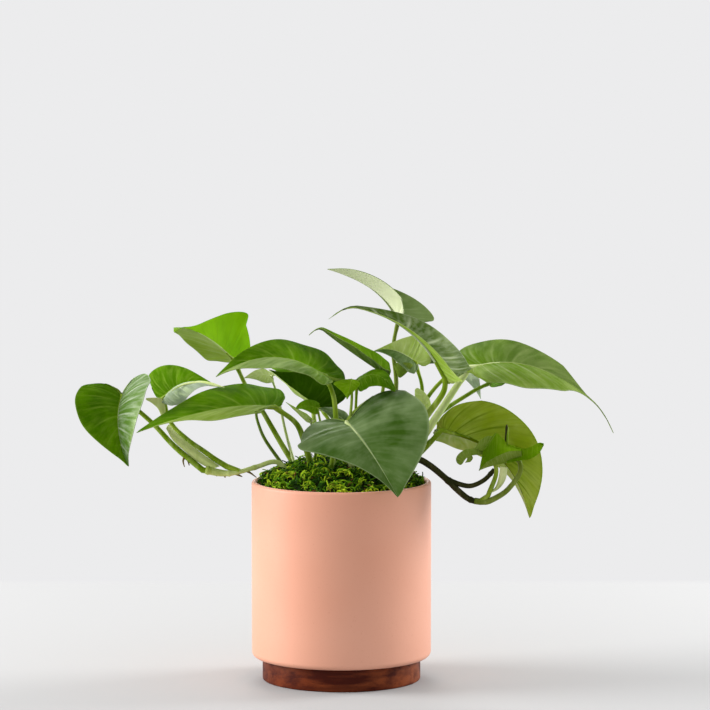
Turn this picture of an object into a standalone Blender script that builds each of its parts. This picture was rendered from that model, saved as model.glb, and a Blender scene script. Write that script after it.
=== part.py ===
"""A potted pothos: a cylindrical ceramic planter on a round wood plinth, with the nursery pot, soil,
moss, vines and leaves that it holds.

The frame: the origin is the centre of the plinth's underside, +Z is up, -Y is the front.
Sizes in the tables are millimetres; mesh coordinates are metres.
"""

import math
from collections import namedtuple

import bmesh
import bpy
from mathutils import Matrix, Vector

MM = 0.001
GAP = 0.3  # clearance between pieces that touch

# Plinth and ceramic pot
PLINTH_RADIUS = 56.0
PLINTH_HEIGHT = 16.0
PLINTH_EDGE = 1.5
POT_RADIUS = 63.5
POT_BOTTOM = PLINTH_HEIGHT + GAP
POT_TOP = 141.6
POT_WALL = 4.0
POT_FLOOR = 6.0
POT_FOOT_ROUND = 4.0
POT_SEGMENTS = 56

# Nursery pot
LINER_FOOT_RADIUS = 46.0
LINER_TOP_RADIUS = 56.0
LINER_LIP_RADIUS = 58.6
LINER_WALL = 1.2
LINER_BOTTOM = POT_BOTTOM + POT_FLOOR + GAP
LINER_TOP = 131.0
LINER_SEGMENTS = 32
DRAIN_HOLES = 6
DRAIN_RADIUS = 4.0
DRAIN_RING = 28.0

# Soil and moss
SOIL_EDGE = 127.0
SOIL_RISE = 14.0
MOSS_RADIUS = POT_RADIUS - POT_WALL - GAP
MOSS_EDGE = 136.0
MOSS_RISE = 18.0
MOSS_UNDER = 132.0
ROOT_DEPTH = 16.0

# Leaves and their stalks
BLADE_THICKNESS = 0.8
BLADE_ROWS = 9
BLADE_COLUMNS = 2
SMALL_BLADE = 30.0  # shorter blades get fewer rows
STALK_SIDES = 6
WIDEST = 0.26  # where along the midrib the blade is widest
BLADE_CURL = 20.0  # degrees that each half arches over from midrib to margin
RIB_REACH = 0.12  # how far the stalk runs on under the midrib


HOLE_SLACK = 0.6  # how much wider than its stem a hole in the moss and soil is
HOLE_TOP = 160.0  # holes are cut up to this height
ON_A_VINE = {"leaf_far_left", "leaf_left_curled", "leaf_crumpled", "leaf_curled_tip"}

# One half of a pothos blade laid flat: distance along the midrib, then distance out from it,
# as shares of the blade's length and half width. The lobe reaches back past the stalk.
HALF_BLADE = [
    (0.0, 0.0), (-0.085, 0.22), (-0.12, 0.52), (-0.06, 0.82), (0.06, 0.98), (0.20, 1.0),
    (0.38, 0.87), (0.57, 0.63), (0.75, 0.34), (0.89, 0.12), (1.0, 0.0),
]

# Each leaf: three points on its midrib, then how far its right and left halves reach from the
# midrib where they are widest (right as seen from above with the tip pointing away), how deep
# its lobes are, how full its outline is, its stalk's route from the soil up, and the stalk's radius.
Leaf = namedtuple(
    "Leaf", "base mid tip right left stalk lobe full radius", defaults=(1.0, 1.0, 1.5)
)
LEAVES = {
    "leaf_far_left": Leaf(
        base=(-156, 14, 200), mid=(-157, -10, 179), tip=(-149, -26, 155),
        right=(-30, -12, 4), left=(22, -20, 18), lobe=0.9, radius=1.8,
        stalk=[(-98, 0, 149), (-118, 6, 165), (-134, 12, 181)]),
    "leaf_left_curled": Leaf(
        base=(-127, 20, 198), mid=(-109, 8, 208), tip=(-84, -6, 208),
        right=(9, -15, -7), left=(-10, 12, 16), lobe=0.4, full=1.3, radius=1.7,
        stalk=[(-80.5, 0.8, 151.9), (-97, 6, 157), (-109, 12, 163), (-122, 20, 179)]),
    "leaf_left_long": Leaf(
        base=(-42, -10, 195), mid=(-88, -22, 195), tip=(-143, -34, 180),
        right=(6, 33, 10), left=(4, -31, -4), lobe=0.3, radius=2.0,
        stalk=[(-30, -4, 151), (-31, 0, 176)]),
    "leaf_upper_left": Leaf(
        base=(-76, 10, 226), mid=(-96, -15, 246), tip=(-115, -40, 255),
        right=(-15, 26, -7), left=(17, 16, 13), lobe=0.3, radius=1.7,
        stalk=[(-45, 12, 156), (-62, 20, 189), (-70, 18, 211)]),
    "leaf_centre_left": Leaf(
        base=(-11, -20, 218), mid=(-48, -35, 233), tip=(-87, -50, 221),
        right=(6, 30, 9), left=(1, -33, -3), lobe=0.7, radius=2.4,
        stalk=[(-9, -34, 146), (-4, -14, 171), (-5, -10, 200)]),
    "leaf_centre_shaded": Leaf(
        base=(-14, 36, 191), mid=(-35, 40, 201), tip=(-57, 42, 214),
        right=(16, 15, 11), left=(-4, -20, 3), radius=1.5,
        stalk=[(-10, 14, 151), (-7, 26, 175)]),
    "leaf_small_oval": Leaf(
        base=(-17, 0, 193), mid=(-25, 0, 195), tip=(-32, 0, 193),
        right=(0, 5, 4), left=(0, -5, -4), radius=0.9,
        stalk=[(-12, -4, 153), (-14, -1, 178)]),
    "leaf_small_thin": Leaf(
        base=(-22, 4, 184), mid=(-30, 4, 190), tip=(-39, 4, 197),
        right=(2, 10, 2), left=(-1, -8, -1), radius=0.9,
        stalk=[(-19, 6, 153), (-18, 5, 170)]),
    "leaf_front_heart": Leaf(
        base=(4, -24, 186), mid=(21, -54, 168), tip=(39, -74, 140),
        right=(-33, -8, -9), left=(43, 8, 18), full=0.85, radius=1.9,
        stalk=[(8, -22, 151), (4, -25, 170)]),
    "leaf_young_folded": Leaf(
        base=(7, -25, 216), mid=(6, -30, 211), tip=(4, -32, 203),
        right=(6, 2, -2), left=(-12, 2, -1), radius=1.0,
        stalk=[(1, -13, 150), (7, -22, 197)]),
    "leaf_middle_arch": Leaf(
        base=(11, -8, 213), mid=(25, -13, 218), tip=(38, -18, 207),
        right=(0, -10, -8), left=(1, 12, 2), lobe=0.2, radius=1.1,
        stalk=[(11, 1, 152), (10, -5, 184)]),
    "leaf_slender": Leaf(
        base=(31, 12, 216), mid=(5, 6, 234), tip=(-21, 0, 251),
        right=(3, 10, 8), left=(1, -18, 6), lobe=0.3, radius=1.4,
        stalk=[(17, 10, 153), (27, 14, 191)]),
    "leaf_right_arched": Leaf(
        base=(74, -24, 217), mid=(42, -32, 254), tip=(-8, -40, 265),
        right=(15, 22, 0), left=(10, -26, 1), lobe=0.2, radius=1.8,
        stalk=[(34, -14, 151), (58, -18, 187), (71, -22, 206)]),
    "leaf_topmost": Leaf(
        base=(42, 46, 250), mid=(24, 42, 273), tip=(-10, 32, 289),
        right=(24, 14, -3), left=(9, -22, 15), lobe=0.1, full=1.5, radius=1.6,
        stalk=[(30, 24, 156), (39, 53, 200), (37, 54, 229)]),
    "leaf_behind_arch": Leaf(
        base=(53, 34, 222), mid=(37, 31, 231), tip=(22, 31, 230),
        right=(0, 12, 15), left=(-1, -12, -9), lobe=1.5, radius=1.4,
        stalk=[(40, 22, 152), (57, 30, 196)]),
    "leaf_far_right": Leaf(
        base=(89, 14, 215), mid=(144, 4, 217), tip=(192, -4, 176),
        right=(4, -30, -18), left=(-5, 28, 18), lobe=0.5, radius=2.3,
        stalk=[(42, -3, 150), (57, 4, 171), (74, 10, 196)]),
    "leaf_hanging_tip": Leaf(
        base=(79, 62, 228), mid=(90, 58, 218), tip=(100, 50, 195),
        right=(-6, -12, -4), left=(6, 14, 4), radius=1.5,
        stalk=[(36, 34, 152), (63, 55, 196)]),
    "leaf_low_right": Leaf(
        base=(68, 4, 176), mid=(112, 0, 158), tip=(133, -8, 116),
        right=(35, -12, 16), left=(-6, 25, -8), lobe=0.2, full=0.85, radius=2.1,
        stalk=[(45, 5, 151), (58, 6, 163)]),
    "leaf_crumpled": Leaf(
        base=(109, -22, 175), mid=(123, -26, 165), tip=(141, -28, 172),
        right=(-7, -5, -14), left=(4, 10, 5), radius=1.9,
        stalk=[(98, -11, 128), (105, -12, 129), (118, -14, 138), (126, -17, 155)]),
    "leaf_curled_tip": Leaf(
        base=(102, -20, 165), mid=(90, -22, 167), tip=(83, -24, 158),
        right=(0, 6, 3), left=(0, -4, -4), radius=1.5,
        stalk=[(103.4, -11.8, 132.4), (109, -16, 151)]),
    "leaf_small_pale": Leaf(
        base=(59, 14, 188), mid=(58, 16, 197), tip=(53, 20, 205),
        right=(5, 3, 0), left=(-6, 3, 0), radius=1.1,
        stalk=[(37, 12, 153), (49, 13, 169)]),
    "leaf_small_left": Leaf(
        base=(-50, 16, 214), mid=(-59, 10, 216), tip=(-69, 4, 214),
        right=(0, 8, 3), left=(0, -6, -5), radius=1.1,
        stalk=[(-35, 10, 158), (-40, 20, 175), (-45, 25, 197)]),
    "leaf_behind_heart": Leaf(
        base=(3, 4, 183), mid=(-6, 8, 189), tip=(-17, 10, 192),
        right=(1, 8, 4), left=(-3, -8, -5), radius=1.1,
        stalk=[(-1, 2, 152), (2, 3, 170)]),
    "leaf_back_low": Leaf(
        base=(2, 38, 166), mid=(13, 72, 173), tip=(24, 106, 165),
        right=(18, -6, -2), left=(-17, 6, -1),
        stalk=[(3, 24, 151)]),
    "leaf_back_left": Leaf(
        base=(-30, 66, 213), mid=(-40, 90, 219), tip=(-50, 114, 213),
        right=(18, 6, -3), left=(-17, -6, -2),
        stalk=[(-17, 30, 152), (-21, 60, 186)]),
    "leaf_back_right": Leaf(
        base=(108, 40, 205), mid=(124, 62, 206), tip=(140, 90, 198),
        right=(7, -20, -5), left=(-3, 16, 5),
        stalk=[(47, 17, 152), (66, 26, 182), (92, 34, 200)]),
    "leaf_back_low_right": Leaf(
        base=(70, 42, 177), mid=(96, 66, 179), tip=(118, 90, 163),
        right=(13, -18, -7), left=(10, 22, 5),
        stalk=[(48, 23, 150), (60, 34, 163)]),
    "leaf_back_far_left": Leaf(
        base=(-57, 48, 189), mid=(-74, 70, 192), tip=(-94, 93, 185),
        right=(4, 24, 3), left=(-6, -22, 0),
        stalk=[(-34, 22, 152), (-43, 31, 163), (-49, 41, 175)]),
}

# Each vine: its route from the soil outwards, and its radius
VINE_LEFT = [(-38, 0, 147), (-45, 0, 156), (-58, 0, 154), (-74, -2, 148), (-84, -1, 147), (-96, 0, 149)]
VINE_LEFT_RADIUS = 2.9
VINE_RIGHT = [
    (46, -14, 151), (53, -12, 158), (62, -11, 154), (74, -10, 144),
    (81, -10, 137), (88, -10, 131), (93, -10, 128.6), (97, -10.6, 128),
]
VINE_RIGHT_RADIUS = 2.3
VINE_FORK = [(74, -10, 144), (84, -9, 140), (92, -8, 139), (101, -6, 143), (108, -4, 150)]
VINE_FORK_RADIUS = 1.8

COLOURS = {
    "wood": ((0.12, 0.035, 0.015), 0.45),
    "ceramic": ((0.73, 0.35, 0.24), 0.4),
    "liner": ((0.02, 0.02, 0.02), 0.5),
    "soil": ((0.03, 0.018, 0.01), 0.95),
    "moss": ((0.10, 0.20, 0.02), 0.95),
    "vine": ((0.16, 0.24, 0.05), 0.5),
    "dark_vine": ((0.03, 0.03, 0.015), 0.45),
    "leaf": ((0.06, 0.19, 0.03), 0.35),
}


def material(name):
    found = bpy.data.materials.get(name)
    if found:
        return found
    colour, roughness = COLOURS[name]
    made = bpy.data.materials.new(name)
    made.use_nodes = True
    shader = made.node_tree.nodes["Principled BSDF"]
    shader.inputs["Base Color"].default_value = (*colour, 1.0)
    shader.inputs["Roughness"].default_value = roughness
    return made


def add_object(name, bm, finish):
    """Turns a bmesh in millimetres into an object in metres."""
    bmesh.ops.scale(bm, vec=(MM, MM, MM), verts=bm.verts)
    mesh = bpy.data.meshes.new(name)
    bm.to_mesh(mesh)
    bm.free()
    mesh.shade_smooth()
    mesh.set_sharp_from_angle(angle=math.radians(40))
    mesh.materials.append(material(finish))
    obj = bpy.data.objects.new(name, mesh)
    bpy.context.scene.collection.objects.link(obj)
    return obj


def hide_guide(obj):
    """Marks an object as a cutter or guide, which is no part of the plant."""
    obj.hide_render = True
    obj.display_type = "WIRE"


def turned(profile, segments):
    """Spins a closed outline of (radius, height) points about the Z axis into a closed solid."""
    bm = bmesh.new()
    ring = [bm.verts.new((r, 0.0, z)) for r, z in profile]
    edges = [bm.edges.new(pair) for pair in zip(ring, ring[1:])]
    if profile[0][0] > 0.0:
        edges.append(bm.edges.new((ring[-1], ring[0])))
    bmesh.ops.spin(
        bm, geom=ring + edges, axis=(0, 0, 1), cent=(0, 0, 0), angle=math.tau,
        steps=segments, use_merge=True,
    )
    bmesh.ops.remove_doubles(bm, verts=bm.verts, dist=0.001)
    bmesh.ops.recalc_face_normals(bm, faces=bm.faces)
    return bm


def arc(centre, radius, start, end, steps):
    """Points (r, z) along an arc, with its angles in degrees."""
    angles = [math.radians(start + (end - start) * i / steps) for i in range(steps + 1)]
    return [(centre[0] + radius * math.cos(a), centre[1] + radius * math.sin(a)) for a in angles]


def smooth_route(points, count):
    """Points at even parameters on a Catmull-Rom curve through the given ones."""
    knots = [Vector(p) for p in points]
    knots = [2 * knots[0] - knots[1], *knots, 2 * knots[-1] - knots[-2]]
    spans = len(points) - 1
    route = []
    for step in range(count):
        t = spans * step / (count - 1)
        i = min(int(t), spans - 1)
        f = t - i
        a, b, c, d = knots[i : i + 4]
        bend = 2 * a - 5 * b + 4 * c - d
        rise = 3 * b - a - 3 * c + d
        route.append(0.5 * (2 * b + (c - a) * f + bend * f**2 + rise * f**3))
    return route


def tube(name, route, radii, sides, finish):
    """A round stem: a curve with a bevel and filled caps, made a mesh."""
    curve = bpy.data.curves.new(name + "_route", "CURVE")
    curve.dimensions = "3D"
    curve.bevel_depth = MM
    curve.bevel_resolution = (sides - 4) // 2
    curve.resolution_u = 1
    curve.use_fill_caps = True
    spline = curve.splines.new("POLY")
    spline.points.add(len(route) - 1)
    for point, place, radius in zip(spline.points, route, radii):
        point.co = (*(place * MM), 1.0)
        point.radius = radius
    guide = bpy.data.objects.new(name + "_route", curve)
    mesh = bpy.data.meshes.new_from_object(guide)
    bpy.data.objects.remove(guide)
    bpy.data.curves.remove(curve)
    bm = bmesh.new()
    bm.from_mesh(mesh)
    bpy.data.meshes.remove(mesh)
    bmesh.ops.remove_doubles(bm, verts=bm.verts, dist=0.01 * MM)
    bmesh.ops.recalc_face_normals(bm, faces=bm.faces)
    bmesh.ops.scale(bm, vec=(1 / MM, 1 / MM, 1 / MM), verts=bm.verts)
    return add_object(name, bm, finish)


def join(obj, other):
    """Unites obj with a guide, so that both are one solid."""
    hide_guide(other)
    union = obj.modifiers.new("union_" + other.name, "BOOLEAN")
    union.operation = "UNION"
    union.object = other
    union.use_self = True


def soil_height(radius):
    return SOIL_EDGE + SOIL_RISE * (1 - (radius / LINER_TOP_RADIUS) ** 2)


def moss_height(radius):
    return MOSS_EDGE + MOSS_RISE * (1 - (radius / MOSS_RADIUS) ** 4)


def midrib_point(leaf, along):
    """A point on the midrib, an even curve through its three points."""
    base, mid, tip = map(Vector, (leaf.base, leaf.mid, leaf.tip))
    pull = 2 * mid - (base + tip) / 2
    if along < 0:
        return base + (pull - base) * 2 * along
    return (1 - along) ** 2 * base + 2 * along * (1 - along) * pull + along**2 * tip


def midrib_direction(leaf, along):
    base, mid, tip = map(Vector, (leaf.base, leaf.mid, leaf.tip))
    pull = 2 * mid - (base + tip) / 2
    along = min(max(along, 0.0), 1.0)
    return ((1 - along) * (pull - base) + along * (tip - pull)).normalized()


def half_blade_points(leaf, side, rows, columns):
    """The grid of one half: each row runs out along a side vein from midrib to margin."""
    reach = Vector(leaf.right if side > 0 else leaf.left)
    width = reach.length
    forward = midrib_direction(leaf, WIDEST)
    up = (reach.cross(forward) * side).normalized()
    outline = smooth_route([(x, y, 0) for x, y in HALF_BLADE], rows + 1)
    grid = []
    for i in range(rows + 1):
        foot = (i / rows) ** 2
        margin_along = outline[i].x * (leaf.lobe if outline[i].x < 0 else 1.0)
        margin_out = max(outline[i].y, 0.0) ** leaf.full
        row = []
        for j in range(columns + 1):
            share = j / columns
            along = foot + (margin_along - foot) * share
            out = margin_out * share
            turn = forward.rotation_difference(midrib_direction(leaf, along))
            half_turn = math.radians(BLADE_CURL) * (1 - out) / 2
            flat = out * width * math.cos(half_turn)
            lift = out * width * math.sin(half_turn)
            row.append(
                midrib_point(leaf, along)
                + turn @ reach.normalized() * flat
                + turn @ up * lift
            )
        grid.append(row)
    return grid


def blade_length(leaf):
    points = [midrib_point(leaf, i / 10) for i in range(11)]
    return sum((b - a).length for a, b in zip(points, points[1:]))


def below_moss(points):
    """Extends a stem's route downwards from its first point, through the moss into the soil."""
    first, second = Vector(points[0]), Vector(points[1])
    down = (first - second).normalized()
    down = (down + Vector((0, 0, -2))).normalized()
    return [first + down * ROOT_DEPTH, *map(Vector, points)]


def make_leaf(name, leaf):
    """A blade of even thickness, united with the stalk that it grew on."""
    small = blade_length(leaf) < SMALL_BLADE
    rows = BLADE_ROWS - 3 if small else BLADE_ROWS
    bm = bmesh.new()
    for side in (1, -1):
        grid = half_blade_points(leaf, side, rows, BLADE_COLUMNS)
        verts = [[bm.verts.new(p) for p in row] for row in grid]
        for i in range(rows):
            for j in range(BLADE_COLUMNS):
                corners = [verts[i][j], verts[i][j + 1], verts[i + 1][j + 1], verts[i + 1][j]]
                bm.faces.new(corners if side > 0 else corners[::-1])
    bmesh.ops.remove_doubles(bm, verts=bm.verts, dist=0.05)
    bmesh.ops.dissolve_degenerate(bm, dist=0.02, edges=bm.edges)
    blade = add_object(name, bm, "leaf")
    wall = blade.modifiers.new("thickness", "SOLIDIFY")
    wall.thickness = BLADE_THICKNESS * MM
    wall.offset = 0.0
    run = leaf.stalk if name in ON_A_VINE else below_moss([*leaf.stalk, leaf.base])[:-1]
    route = smooth_route([*run, leaf.base, midrib_point(leaf, RIB_REACH)], 2 * len(run) + 3)
    thick = [leaf.radius * (1.25 - 0.35 * i / (len(route) - 1)) for i in range(len(route))]
    thick[-1] = BLADE_THICKNESS * 0.9
    stalk = tube(name + "_stalk", route, thick, STALK_SIDES, "leaf")
    join(blade, stalk)
    if name not in ON_A_VINE:
        cut_hole_for(name, route, thick)
    return blade


def cut_hole_for(name, route, radii):
    """A cutter a little fatter than a stem's foot, for the moss and the soil."""
    foot = [i for i, place in enumerate(route) if place.z < HOLE_TOP]
    last = foot[-1] + 2
    below = route[0] + (route[0] - route[1]).normalized() * HOLE_SLACK
    path = [below, *route[:last]]
    sizes = [radii[0] + HOLE_SLACK, *(r + HOLE_SLACK for r in radii[:last])]
    cutter = tube(name + "_hole", path, sizes, STALK_SIDES, "moss")
    hide_guide(cutter)
    holes = bpy.data.collections["stem_holes"]
    bpy.context.scene.collection.objects.unlink(cutter)
    holes.objects.link(cutter)


def bore(obj):
    """Cuts every stem's hole out of obj."""
    cut = obj.modifiers.new("stem_holes", "BOOLEAN")
    cut.operation = "DIFFERENCE"
    cut.operand_type = "COLLECTION"
    cut.collection = bpy.data.collections["stem_holes"]


def make_plinth():
    profile = [(0.0, 0.0), (PLINTH_RADIUS - PLINTH_EDGE, 0.0)]
    profile += arc((PLINTH_RADIUS - PLINTH_EDGE, PLINTH_EDGE), PLINTH_EDGE, -90, 0, 2)[1:]
    profile += [(PLINTH_RADIUS, PLINTH_HEIGHT), (0.0, PLINTH_HEIGHT)]
    return add_object("wood_plinth", turned(profile, POT_SEGMENTS), "wood")


def make_ceramic_pot():
    lip = POT_WALL / 2
    inner = POT_RADIUS - POT_WALL
    floor = POT_BOTTOM + POT_FLOOR
    foot = POT_RADIUS - POT_FOOT_ROUND
    profile = [(0.0, POT_BOTTOM), (foot, POT_BOTTOM)]
    profile += arc((foot, POT_BOTTOM + POT_FOOT_ROUND), POT_FOOT_ROUND, -90, 0, 3)[1:]
    profile += arc((POT_RADIUS - lip, POT_TOP - lip), lip, 0, 180, 4)
    profile += [(inner, floor + 3), (inner - 3, floor), (0.0, floor)]
    return add_object("ceramic_pot", turned(profile, POT_SEGMENTS), "ceramic")


def make_nursery_pot():
    wall = LINER_WALL
    profile = [(0.0, LINER_BOTTOM), (LINER_FOOT_RADIUS, LINER_BOTTOM)]
    profile += [(LINER_TOP_RADIUS, LINER_TOP - 4), (LINER_LIP_RADIUS, LINER_TOP - 4)]
    profile += [(LINER_LIP_RADIUS, LINER_TOP), (LINER_TOP_RADIUS - wall, LINER_TOP)]
    profile += [(LINER_FOOT_RADIUS - wall, LINER_BOTTOM + wall), (0.0, LINER_BOTTOM + wall)]
    pot = add_object("nursery_pot", turned(profile, LINER_SEGMENTS), "liner")
    bm = bmesh.new()
    for i in range(DRAIN_HOLES):
        angle = math.tau * i / DRAIN_HOLES
        centre = Vector((math.cos(angle), math.sin(angle), 0)) * DRAIN_RING
        centre.z = LINER_BOTTOM
        bmesh.ops.create_cone(
            bm, cap_ends=True, segments=10, radius1=DRAIN_RADIUS, radius2=DRAIN_RADIUS,
            depth=6, matrix=Matrix.Translation(centre),
        )
    drill = add_object("drain_cutter", bm, "liner")
    hide_guide(drill)
    cut = pot.modifiers.new("drain_holes", "BOOLEAN")
    cut.operation = "DIFFERENCE"
    cut.object = drill
    return pot


def make_soil():
    inside = LINER_BOTTOM + LINER_WALL
    low = inside + GAP
    foot = LINER_FOOT_RADIUS - LINER_WALL - GAP
    rise = (SOIL_EDGE - inside) / (LINER_TOP - inside)
    edge = foot + (LINER_TOP_RADIUS - LINER_FOOT_RADIUS) * rise
    profile = [(0.0, low), (foot, low), (edge, SOIL_EDGE)]
    profile += [(r, soil_height(r)) for r in (50.0, 38.0, 20.0, 0.0)]
    return add_object("potting_soil", turned(profile, LINER_SEGMENTS), "soil")


def make_moss():
    top = [(r, moss_height(r)) for r in (MOSS_RADIUS, 57.0, 53.0, 47.0, 38.0, 24.0, 0.0)]
    under = [(0.0, soil_height(0) + GAP), (20.0, soil_height(20) + GAP), (38.0, soil_height(38) + GAP)]
    under += [(50.0, MOSS_UNDER), (MOSS_RADIUS, MOSS_UNDER)]
    return add_object("moss_mound", turned(under + top, 32), "moss")


def make_vines():
    def taper(radius, count):
        return [radius * (1.05 - 0.15 * i / (count - 1)) for i in range(count)]

    left = smooth_route(below_moss(VINE_LEFT), 18)
    thick = taper(VINE_LEFT_RADIUS, len(left))
    thick[14] *= 1.25
    thick[17] *= 1.2
    tube("vine_left", left, thick, 8, "vine")
    cut_hole_for("vine_left", left, thick)
    right = smooth_route(below_moss(VINE_RIGHT), 18)
    thick = taper(VINE_RIGHT_RADIUS, len(right))
    main = tube("vine_right", right, thick, 8, "dark_vine")
    cut_hole_for("vine_right", right, thick)
    fork = smooth_route(VINE_FORK, 10)
    branch = tube("vine_right_fork", fork, taper(VINE_FORK_RADIUS, len(fork)), 6, "dark_vine")
    join(main, branch)


def main():
    for obj in list(bpy.data.objects):
        bpy.data.objects.remove(obj)
    bpy.context.scene.collection.children.link(bpy.data.collections.new("stem_holes"))
    make_plinth()
    make_ceramic_pot()
    make_nursery_pot()
    soil = make_soil()
    moss = make_moss()
    make_vines()
    for name, leaf in LEAVES.items():
        make_leaf(name, leaf)
    bore(soil)
    bore(moss)


main()
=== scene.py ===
# %% [markdown]
# # A potted pothos, dressed
#
# The imported model already holds the plant's solids: a planter on a wood plinth, the plastic
# nursery pot inside it, soil, moss, two vines and their leaves. This lesson dresses that frame.
# It makes each leaf again as a fine, veined blade, covers the moss with strands, turns a smooth
# planter, and gives every piece a procedural finish. It starts by loading the frame.

# %% Load the frame
import math
import random
from collections import namedtuple

import bmesh
import bpy
from mathutils import Matrix, Vector, noise


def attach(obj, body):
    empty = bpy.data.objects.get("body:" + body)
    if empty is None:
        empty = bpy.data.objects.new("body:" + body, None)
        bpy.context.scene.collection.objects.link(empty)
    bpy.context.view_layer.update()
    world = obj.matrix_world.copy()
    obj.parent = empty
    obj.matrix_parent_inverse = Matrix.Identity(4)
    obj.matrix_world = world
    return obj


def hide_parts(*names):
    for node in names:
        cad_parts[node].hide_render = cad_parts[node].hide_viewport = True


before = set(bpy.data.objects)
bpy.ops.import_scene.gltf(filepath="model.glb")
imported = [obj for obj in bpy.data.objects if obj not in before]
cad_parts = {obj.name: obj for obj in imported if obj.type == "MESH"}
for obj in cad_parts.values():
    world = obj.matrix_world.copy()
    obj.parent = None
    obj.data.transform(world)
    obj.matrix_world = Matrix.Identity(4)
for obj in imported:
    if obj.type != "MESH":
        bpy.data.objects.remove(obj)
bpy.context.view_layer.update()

MM = 0.001
print("frame nodes:", len(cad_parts))

# %% [markdown]
# ## The camera
#
# A plant with leaves on all sides is best shown from a few metres away through a long lens, so
# that near and far leaves keep their true proportions. The camera stands a little above the plant
# and looks down by six degrees, which opens the mouth of the planter just enough to show the moss.

# %% Camera
CAMERA_PLACE = (0.0096, -2.95, 0.5435)
CAMERA_DOWN = 6.05
CAMERA_LENS = 213.4
CAMERA_SENSOR = 36.0
CAMERA_FAR = 50.0


def add_object(name, data):
    """An object of this data, put into the scene."""
    made = bpy.data.objects.new(name, data)
    bpy.context.scene.collection.objects.link(made)
    return made


camera_data = bpy.data.cameras.new("camera")
camera_data.lens = CAMERA_LENS
camera_data.sensor_width = CAMERA_SENSOR
camera_data.clip_end = CAMERA_FAR
camera = add_object("camera", camera_data)
camera.location = CAMERA_PLACE
camera.rotation_euler = (math.radians(90 - CAMERA_DOWN), 0.0, 0.0)
bpy.context.scene.camera = camera
print("camera looks down by", CAMERA_DOWN, "degrees")

# %% [markdown]
# ## Helpers for finishes
#
# Every finish here is a small graph of shader nodes. Writing each link by hand hides the idea, so
# this helper class adds a node, sets its plain values and links its inputs in one call. Colours
# are written as they look on a screen and turned into the linear values that the shader needs.

# %% A helper for node graphs
def colour(red, green, blue):
    """A screen colour, 0 to 255, as linear light."""
    def linear(value):
        value /= 255
        return value / 12.92 if value <= 0.04045 else ((value + 0.055) / 1.055) ** 2.4

    return (linear(red), linear(green), linear(blue), 1.0)


class Graph:
    """The nodes of a new material, or of a world, and the few kinds that this lesson uses."""

    def __init__(self, name, kind="Material", shader="Principled BSDF"):
        self.made = (bpy.data.worlds if kind == "World" else bpy.data.materials).new(name)
        self.made.use_nodes = True
        self.nodes = self.made.node_tree.nodes
        self.links = self.made.node_tree.links
        self.shader = self.nodes[shader]
        self.output = self.nodes[kind + " Output"]

    def feed(self, socket, value):
        """Links another node's output to a socket, or sets the socket's own value."""
        if isinstance(value, bpy.types.NodeSocket):
            self.links.new(value, socket)
        else:
            socket.default_value = value

    def node(self, kind, inputs=(), **settings):
        """A new node of this kind, with its inputs and settings."""
        made = self.nodes.new(kind)
        for key, value in settings.items():
            setattr(made, key, value)
        for key, value in dict(inputs).items():
            self.feed(made.inputs[key], value)
        return made

    def math(self, operation, a, b=0.0):
        return self.node("ShaderNodeMath", {0: a, 1: b}, operation=operation).outputs[0]

    def mix(self, factor, a, b):
        """Two colours, mixed."""
        made = self.node("ShaderNodeMix", data_type="RGBA")
        self.feed(made.inputs[0], factor)
        self.feed(made.inputs[6], a)
        self.feed(made.inputs[7], b)
        return made.outputs[2]

    def ramp(self, value, low, high, to_low=0.0, to_high=1.0):
        """The value, carried over from one range to another and held inside it."""
        inputs = {"Value": value, "From Min": low, "From Max": high}
        inputs |= {"To Min": to_low, "To Max": to_high}
        return self.node("ShaderNodeMapRange", inputs).outputs["Result"]

    def place(self, stretch=(1.0, 1.0, 1.0)):
        """Object coordinates, stretched."""
        source = self.node("ShaderNodeTexCoord").outputs["Object"]
        inputs = {"Vector": source, "Scale": stretch}
        return self.node("ShaderNodeMapping", inputs).outputs["Vector"]

    def noise(self, where, scale, detail=3.0, roughness=0.5):
        inputs = {"Vector": where, "Scale": scale, "Detail": detail, "Roughness": roughness}
        return self.node("ShaderNodeTexNoise", inputs).outputs["Fac"]

    def attribute(self, name):
        return self.node("ShaderNodeAttribute", attribute_name=name).outputs["Fac"]

    def bump(self, height, strength, distance):
        inputs = {"Height": height, "Strength": strength, "Distance": distance}
        made = self.node("ShaderNodeBump", inputs)
        self.feed(self.shader.inputs["Normal"], made.outputs["Normal"])

    def finish(self, base, rough, specular=0.5):
        """Sets the main shader's colour, roughness and shine, and hands over the material."""
        self.feed(self.shader.inputs["Base Color"], base)
        self.feed(self.shader.inputs["Roughness"], rough)
        self.feed(self.shader.inputs["Specular IOR Level"], specular)
        return self.made

    def blend(self, share, other):
        """Shows a share of another shader in place of the main one."""
        layers = {0: share, 1: self.shader.outputs[0], 2: other.outputs[0]}
        made = self.node("ShaderNodeMixShader", layers)
        self.feed(self.output.inputs["Surface"], made.outputs[0])
        return self.made


print("graph helper ready")

# %% [markdown]
# ## Helpers for shapes
#
# Two ways of making shapes return all through the plant. Round ware is turned: a profile spins
# about the upright axis, as clay does on a wheel. Stems are tubes that follow a smooth route,
# because a stalk bends evenly along its length. One helper turns every finished bmesh into an
# object, hangs it on the body that it rides on and hides the solid that it stands for.

# %% Shape helpers
def add_piece(name, bm, materials, replaces=(), sharp=40.0):
    """Makes an object of the root body out of a bmesh in millimetres."""
    bmesh.ops.scale(bm, vec=(MM, MM, MM), verts=bm.verts)
    mesh = bpy.data.meshes.new(name)
    bm.to_mesh(mesh)
    bm.free()
    mesh.shade_smooth()
    mesh.set_sharp_from_angle(angle=math.radians(sharp))
    for material in materials:
        mesh.materials.append(material)
    piece = add_object(name, mesh)
    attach(piece, "root")
    for node in replaces:
        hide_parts(node)
    return piece


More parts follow.
